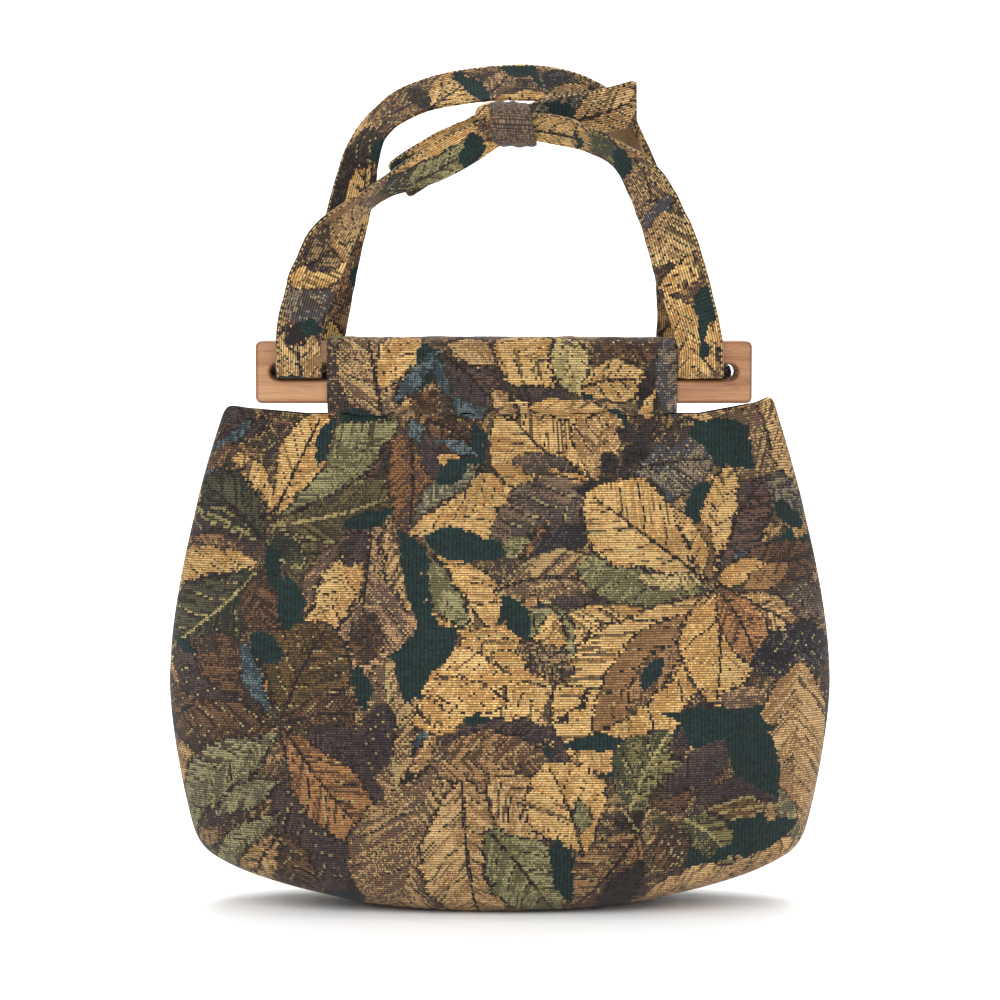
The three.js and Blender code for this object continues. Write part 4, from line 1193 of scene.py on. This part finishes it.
def run_stations(table, face_y):
    """Points, directions, outer-edge directions, widths and swelling along a run of the strap."""
    rows = np.array(table, float)
    points = np.stack([rows[:, 0] * STRAP_X, rows[:, 2] * face_y, STRAP_Z + rows[:, 1] * HANDLE_RISE], 1)
    fine = np.linspace(0, 1, 900)
    line = spline(points, fine)
    steps = np.concatenate([[0], np.cumsum(np.linalg.norm(np.diff(line, axis=0), axis=1))])
    count = int(steps[-1] / THREAD) + 2
    place = np.interp(np.linspace(0, steps[-1], count), steps, fine)
    line, shape = spline(points, place), spline(rows[:, [3, 4]], place)
    tangent = np.gradient(line, axis=0)
    tangent /= np.linalg.norm(tangent, axis=1, keepdims=True)
    level = tangent * [1, 0, 1]
    level /= np.linalg.norm(level, axis=1, keepdims=True)
    outwards = np.stack([-level[:, 2], 0 * level[:, 0], level[:, 0]], 1)
    lean = np.radians(shape[:, 1])[:, None]
    edge = outwards * np.cos(lean) + np.array([[0, 1, 0]]) * np.sin(lean)
    edge -= tangent * np.sum(edge * tangent, axis=1, keepdims=True)
    edge /= np.linalg.norm(edge, axis=1, keepdims=True)
    return line, tangent, edge, shape[:, 0] * STRAP_WIDTH, np.ones(count)


def slot_stations(side, face_y):
    """The way through a slot from between the bars, where the tape is gathered, round a bend and upwards."""
    facing = math.copysign(1, face_y)
    start = facing * 0.1
    bend = face_y - facing * STRAP_BEND
    level = np.linspace(start, bend, 14)[:-1]
    angle = np.linspace(0, math.pi / 2, 9)
    y = np.concatenate([level, bend + facing * STRAP_BEND * np.sin(angle)])
    z = np.concatenate([0 * level, STRAP_BEND * (1 - np.cos(angle))]) + STRAP_Z
    count = len(y)
    gathered = smoothstep(CASING_Y - BAR_THICKNESS / 2 + 1.5, CASING_Y - BAR_THICKNESS / 2 - 2.5, np.abs(y))
    z = z + (BAR_Z - STRAP_Z) * gathered
    line = np.stack([side * (STRAP_X - 1.5 * gathered), y, z], 1)
    turn = np.concatenate([0 * level, angle])
    tangent = np.stack([0 * turn, facing * np.cos(turn), np.sin(turn)], 1)
    edge = np.tile([float(side), 0.0, 0.0], (count, 1))
    return line, tangent, edge, STRAP_WIDTH + (SLOT_LENGTH - STRAP_WIDTH) * gathered, 1 + 1.9 * gathered


def backwards(stations):
    line, tangent, edge, width, swell = (part[::-1] for part in stations)
    return line, -tangent, edge, width, swell


def chained(*runs):
    """Joins runs end to end, with stations in between where they lie apart."""
    joined = runs[0]
    for run in runs[1:]:
        apart = np.linalg.norm(run[0][0] - joined[0][-1])
        share = np.linspace(0, 1, int(apart / THREAD) + 2)[1:-1]
        bridge = [
            np.multiply.outer(1 - share, before[-1]) + np.multiply.outer(share, after[0])
            for before, after in zip(joined, run)
        ]
        joined = tuple(np.concatenate(parts) for parts in zip(joined, bridge, run))
    return joined


def tape_section():
    """A tape's section at even steps of its girth: across and out as shares, and the way round so far."""
    angle = np.linspace(0, 2 * math.pi, 2881)
    a = np.sign(np.cos(angle)) * np.abs(np.cos(angle)) ** 0.42
    b = np.sign(np.sin(angle)) * np.abs(np.sin(angle)) ** 0.62
    steps = np.hypot(np.diff(a) * STRAP_WIDTH / 2, np.diff(b) * STRAP_THICKNESS / 2)
    girth = np.concatenate([[0], np.cumsum(steps)])
    even = np.linspace(0, girth[-1], TAPE_FACES + 1)
    return np.interp(even, girth, a)[:-1], np.interp(even, girth, b)[:-1], even


def make_tape(run_name, stations, lining=None, seed=3, ends=(False, False), skew=0.0):
    """A flat folded tape. lining gives the stretch, as shares of its length, whose front shows the reverse;
    ends says which ends close in a hem, and skew how far the last end slants."""
    line, tangent, edge, width, swell = stations
    face = np.cross(tangent, edge)
    face /= np.linalg.norm(face, axis=1, keepdims=True)
    run = np.concatenate([[0], np.cumsum(np.linalg.norm(np.diff(line, axis=0), axis=1))])
    a, b, even = tape_section()
    thick = STRAP_THICKNESS / 2 * (0.86 + 0.1 * smooth_noise(run / 18, 0 * run, seed)) * swell
    for closes, place in zip(ends, (0, -1)):
        if closes:
            thick[place] *= 0.15
            width = width * (1 - 0.14 * np.clip(1 - np.abs(run - run[place]) / 3, 0, 1) ** 2)
    grid = np.zeros((len(line), TAPE_FACES, 3))
    for k in range(TAPE_FACES):
        side = a[k] * width / 2
        channel = 0.16 * np.exp(-((abs(a[k]) - 0.72) / 0.1) ** 2) * np.sign(b[k])
        waves = 0.5 * (smooth_noise(run / 14, 0 * run + a[k] * 2.2, seed + 4) - 0.5)
        cup = 0.05 * (a[k] ** 2 - 0.4) * width / 2
        lift = b[k] * thick - channel + waves + cup
        frayed = 0.35 * (smooth_noise(run / 5, 0 * run + k, seed + 6) - 0.5) * abs(a[k])
        slide = skew * a[k] * smoothstep(run[-1] - 14, run[-1], run)
        grid[:, k] = line + edge * (side + frayed)[:, None] + face * lift[:, None] + tangent * slide[:, None]
    across, along = np.meshgrid(even, TAPE_STARTS[run_name] + run)
    cloth = np.stack([along, across], -1)
    sheets = Sheets()
    if lining is None:
        sheets.add(grid, cloth, wrap=True, flip=True, seed=seed, chart=TAPE_CHART)
    else:
        add_lined(sheets, grid, cloth, lining, seed)
    stitch_edges(sheets, np.abs(a))
    front = np.arange(TAPE_FACES // 2 + 1)
    for closes, place in zip(ends, (0, -1)):
        if closes:
            sheets.add(np.stack([grid[place][front], grid[place][-front]]), flip=place == 0)
    return sheets.piece(f"strap_{run_name}_tape", f"strap_{run_name}", [TAPESTRY, LINING], "strap_tapestry")


def stitch_edges(sheets, reach):
    """Dashes of light stitching along the folded edges of a tape."""
    for cloth, colours, slots in zip(sheets.cloth, sheets.colours, sheets.slots):
        along, across = cloth.mean(axis=1).T
        column = np.clip(across / (STRAP_GIRTH / len(reach)), 0, len(reach) - 1).astype(int)
        hem = (reach[column] > 0.9) & (reach[column] < 0.985) & (slots == 0)
        dash = (along % STITCH) < STITCH * 0.55
        colours[hem & dash, :3] = np.array(STITCH_COLOURS[0]) / 255
        colours[hem & ~dash, :3] = np.array(STITCH_COLOURS[1]) / 255
        colours[hem, 7] = 0.1


def add_lined(sheets, grid, cloth, lining, seed):
    """The faces of a tape whose front shows its reverse between two shares of its length."""
    rows = len(grid)
    first, last = int(lining[0] * rows), int(lining[1] * rows)
    closed = np.concatenate([grid, grid[:, :1]], axis=1)
    woven = {"flip": True, "seed": seed, "chart": TAPE_CHART}
    sheets.add(grid[:first + 1], cloth[:first + 1], wrap=True, **woven)
    sheets.add(grid[last:], cloth[last:], wrap=True, **woven)
    start, end = 5, TAPE_FACES // 2 - 3
    stretch = slice(first, last + 1)
    sheets.add(closed[stretch, :start + 1], cloth[stretch, :start + 1], **woven)
    sheets.add(closed[stretch, start:end + 1], cloth[stretch, start:end + 1], slot=1, flip=True)
    sheets.add(closed[stretch, end:], cloth[stretch, end:], **woven)


def make_knot():
    """The wrap of the knot, with its ends closed in towards the middle, and the roll that peeps out at its
    upper left.
    """
    x0, y0, z0 = KNOT_MIDDLE
    length, depth, height = KNOT_SIZE
    around = 96
    angle = 2 * math.pi * np.arange(around) / around
    c, s = np.cos(angle), np.sin(angle)
    ring_y = np.sign(c) * np.abs(c) ** 0.7
    ring_z = np.sign(s) * np.abs(s) ** 0.7
    share = np.linspace(-1, 1, 26)
    grid = np.zeros((len(share), around, 3))
    for i, u in enumerate(share):
        lip = 1 - 0.13 * abs(u) ** 5
        fold = 0.35 * np.sin(u * 9 + 1.4 * np.sin(angle * 2))
        dent = -0.9 * np.exp(-((ring_z + 0.66 + 0.05 * u) / 0.07) ** 2) * (c < 0)
        y = (depth / 2 * lip + fold + dent) * ring_y
        z = (height / 2 * lip + fold) * ring_z
        grid[i, :, 0] = x0 + u * length / 2 * (1 - 0.06 * ring_z) - 1.4 * ring_z
        grid[i, :, 1] = y0 + y
        grid[i, :, 2] = z0 + z - 0.02 * u * height
    girth = np.arange(around + 1) * (2 * (depth + height) * 0.82 / around)
    along, across = np.meshgrid(70 + girth, 20 + share * length / 2)
    sheets = Sheets()
    sheets.add(grid, np.stack([across, along], -1), wrap=True, flip=True, seed=8, thread="plumgrey")
    for i, flip in ((0, False), (-1, True)):
        shrink = [grid[i]]
        centre = grid[i].mean(axis=0)
        for share_in, push in ((0.9, 0.0), (0.8, 0.6), (0.5, 1.6), (0.0, 1.8)):
            ring = centre + (grid[i] - centre) * share_in
            ring[:, 0] += push if i == 0 else -push
            shrink.append(ring)
        near = np.stack(np.meshgrid(girth, 40 + np.arange(5) * 2.2), -1)
        sheets.add(np.array(shrink), near, wrap=True, flip=flip, seed=9, thread="plumgrey")
    add_roll(sheets, (x0, y0, z0))
    return sheets.piece("strap_knot_wrap", "strap_knot", [TAPESTRY, LINING], "strap_tapestry")


def add_roll(sheets, middle):
    """A short roll of tape beside the knot's upper left."""
    x0, y0, z0 = middle
    share = np.linspace(0, 1, 22)
    angle = 2 * math.pi * np.arange(30) / 30
    grid = np.zeros((len(share), 30, 3))
    for i, t in enumerate(share):
        radius = 5.6 * math.sqrt(max(0.0, 1 - (1 - t) ** 3)) * (1 - 0.1 * t)
        grid[i, :, 0] = x0 - 18.5 + 14 * t
        grid[i, :, 1] = y0 - 2 + radius * 0.8 * np.cos(angle) + 2 * t
        grid[i, :, 2] = z0 + 5.0 + 1.5 * t + radius * np.sin(angle)
    along, across = np.meshgrid(np.arange(31) * 1.1, 100 + share * 14)
    sheets.add(grid, np.stack([across, along + 180], -1), wrap=True, flip=True, seed=10)


# Stage, light and camera


# The stage in metres: a floor that bends up into a wall far behind the bag
FLOOR_BACK = 2.4
WALL_BEND = 0.9
STAGE_REACH = 4.0


def make_stage():
    mesh = bpy.data.meshes.new("studio_floor")
    angles = np.linspace(0.1, math.pi / 2, 14)
    bend = [(FLOOR_BACK + WALL_BEND * math.sin(a), WALL_BEND - WALL_BEND * math.cos(a)) for a in angles]
    profile = [(-3.0, 0.0), (FLOOR_BACK, 0.0), *bend, (FLOOR_BACK + WALL_BEND, STAGE_REACH)]
    points = [(x, y, z) for y, z in profile for x in (-STAGE_REACH, STAGE_REACH)]
    faces = [(2 * k, 2 * k + 1, 2 * k + 3, 2 * k + 2) for k in range(len(profile) - 1)]
    mesh.from_pydata(points, [], faces)
    mesh.polygons.foreach_set("use_smooth", np.ones(len(faces), bool))
    floor = bpy.data.objects.new("studio_floor", mesh)
    bpy.context.scene.collection.objects.link(floor)
    n = Nodes("studio_floor")
    n.shader.inputs["Base Color"].default_value = (0.9, 0.9, 0.9, 1)
    n.shader.inputs["Roughness"].default_value = 0.9
    n.shader.inputs["Specular IOR Level"].default_value = 0.1
    mesh.materials.append(n.material)


def add_light(name, place, target, size, power):
    light = bpy.data.lights.new(name, "AREA")
    light.size, light.energy = size, power
    lamp = bpy.data.objects.new(name, light)
    lamp.location = place
    lamp.rotation_euler = (Vector(target) - Vector(place)).to_track_quat("-Z", "Y").to_euler()
    bpy.context.scene.collection.objects.link(lamp)


def make_lights():
    world = bpy.data.worlds.new("studio")
    world.use_nodes = True
    world.node_tree.nodes["Background"].inputs["Color"].default_value = (1, 1, 1, 1)
    world.node_tree.nodes["Background"].inputs["Strength"].default_value = 0.75
    bpy.context.scene.world = world
    add_light("key", (-0.8, -1.5, 1.8), (0, 0, 0.2), 2.0, 24)
    add_light("fill", (1.3, -1.4, 0.9), (0, 0, 0.2), 1.4, 9)
    add_light("floor_wash", (0, 0.9, 2.2), (0, 1.2, 0.4), 2.0, 46)
    add_light("wall_wash", (0, 1.8, 2.4), (0, 3.3, 0.9), 2.0, 60)
    bpy.context.scene.view_settings.view_transform = "Standard"
    bpy.context.scene.view_settings.look = "None"


# The photograph is 1000 pixels wide and high, 0.5 mm to the pixel at the bars, seen from slightly above.
SENSOR_WIDTH = 36.0
FRAME_WIDTH = 500.0
VIEW_DISTANCE = 1650.0
VIEW_ELEVATION = math.radians(3.5)
VIEW_TARGET = (0.1, -10.0, 204.0)


def make_camera():
    camera = bpy.data.cameras.new("camera")
    camera.sensor_width = SENSOR_WIDTH
    camera.lens = SENSOR_WIDTH * VIEW_DISTANCE / FRAME_WIDTH
    eye = bpy.data.objects.new("camera", camera)
    back, up = VIEW_DISTANCE * math.cos(VIEW_ELEVATION), VIEW_DISTANCE * math.sin(VIEW_ELEVATION)
    place = Vector((VIEW_TARGET[0], VIEW_TARGET[1] - back, VIEW_TARGET[2] + up))
    eye.location = place * MM
    eye.rotation_euler = (Vector(VIEW_TARGET) - place).to_track_quat("-Z", "Y").to_euler()
    bpy.context.scene.collection.objects.link(eye)
    bpy.context.scene.camera = eye


TAPESTRY = tapestry_material()
INSIDE = reverse_material("cloth_inside", (70, 58, 46), (34, 28, 24))
LINING = reverse_material("strap_reverse", (142, 116, 84), (84, 68, 50))
WOOD = wood_material()

make_camera()
make_stage()
make_lights()
make_panel(-1, FRONT_FOLDS, "front_panel_cloth", 1)
make_panel(1, BACK_FOLDS, "back_panel_cloth", 2)
make_casing(-1, "front_casing_cloth", 1)
make_casing(1, "back_casing_cloth", 2)
make_bar(-1, "front_bar_wood")
make_bar(1, "back_bar_wood")
back_strap = chained(
    slot_stations(-1, RUN_Y), run_stations(BACK_RUN, RUN_Y), backwards(slot_stations(1, RUN_Y)),
)
make_tape("back", back_strap, lining=(0.62, 0.86), seed=11)
left_strap = chained(slot_stations(-1, -RUN_Y), run_stations(FRONT_LEFT_RUN, -RUN_Y))
make_tape("front_left", left_strap, seed=12)
right_strap = chained(run_stations(FRONT_RIGHT_RUN, -RUN_Y), backwards(slot_stations(1, -RUN_Y)))
make_tape("front_right", right_strap, seed=13)
make_tape("tail_left", run_stations(LEFT_TAIL, -RUN_Y), seed=14, ends=(True, False))
make_tape("tail_right", run_stations(RIGHT_TAIL, -RUN_Y), seed=15, ends=(False, True), skew=2.4)
make_knot()
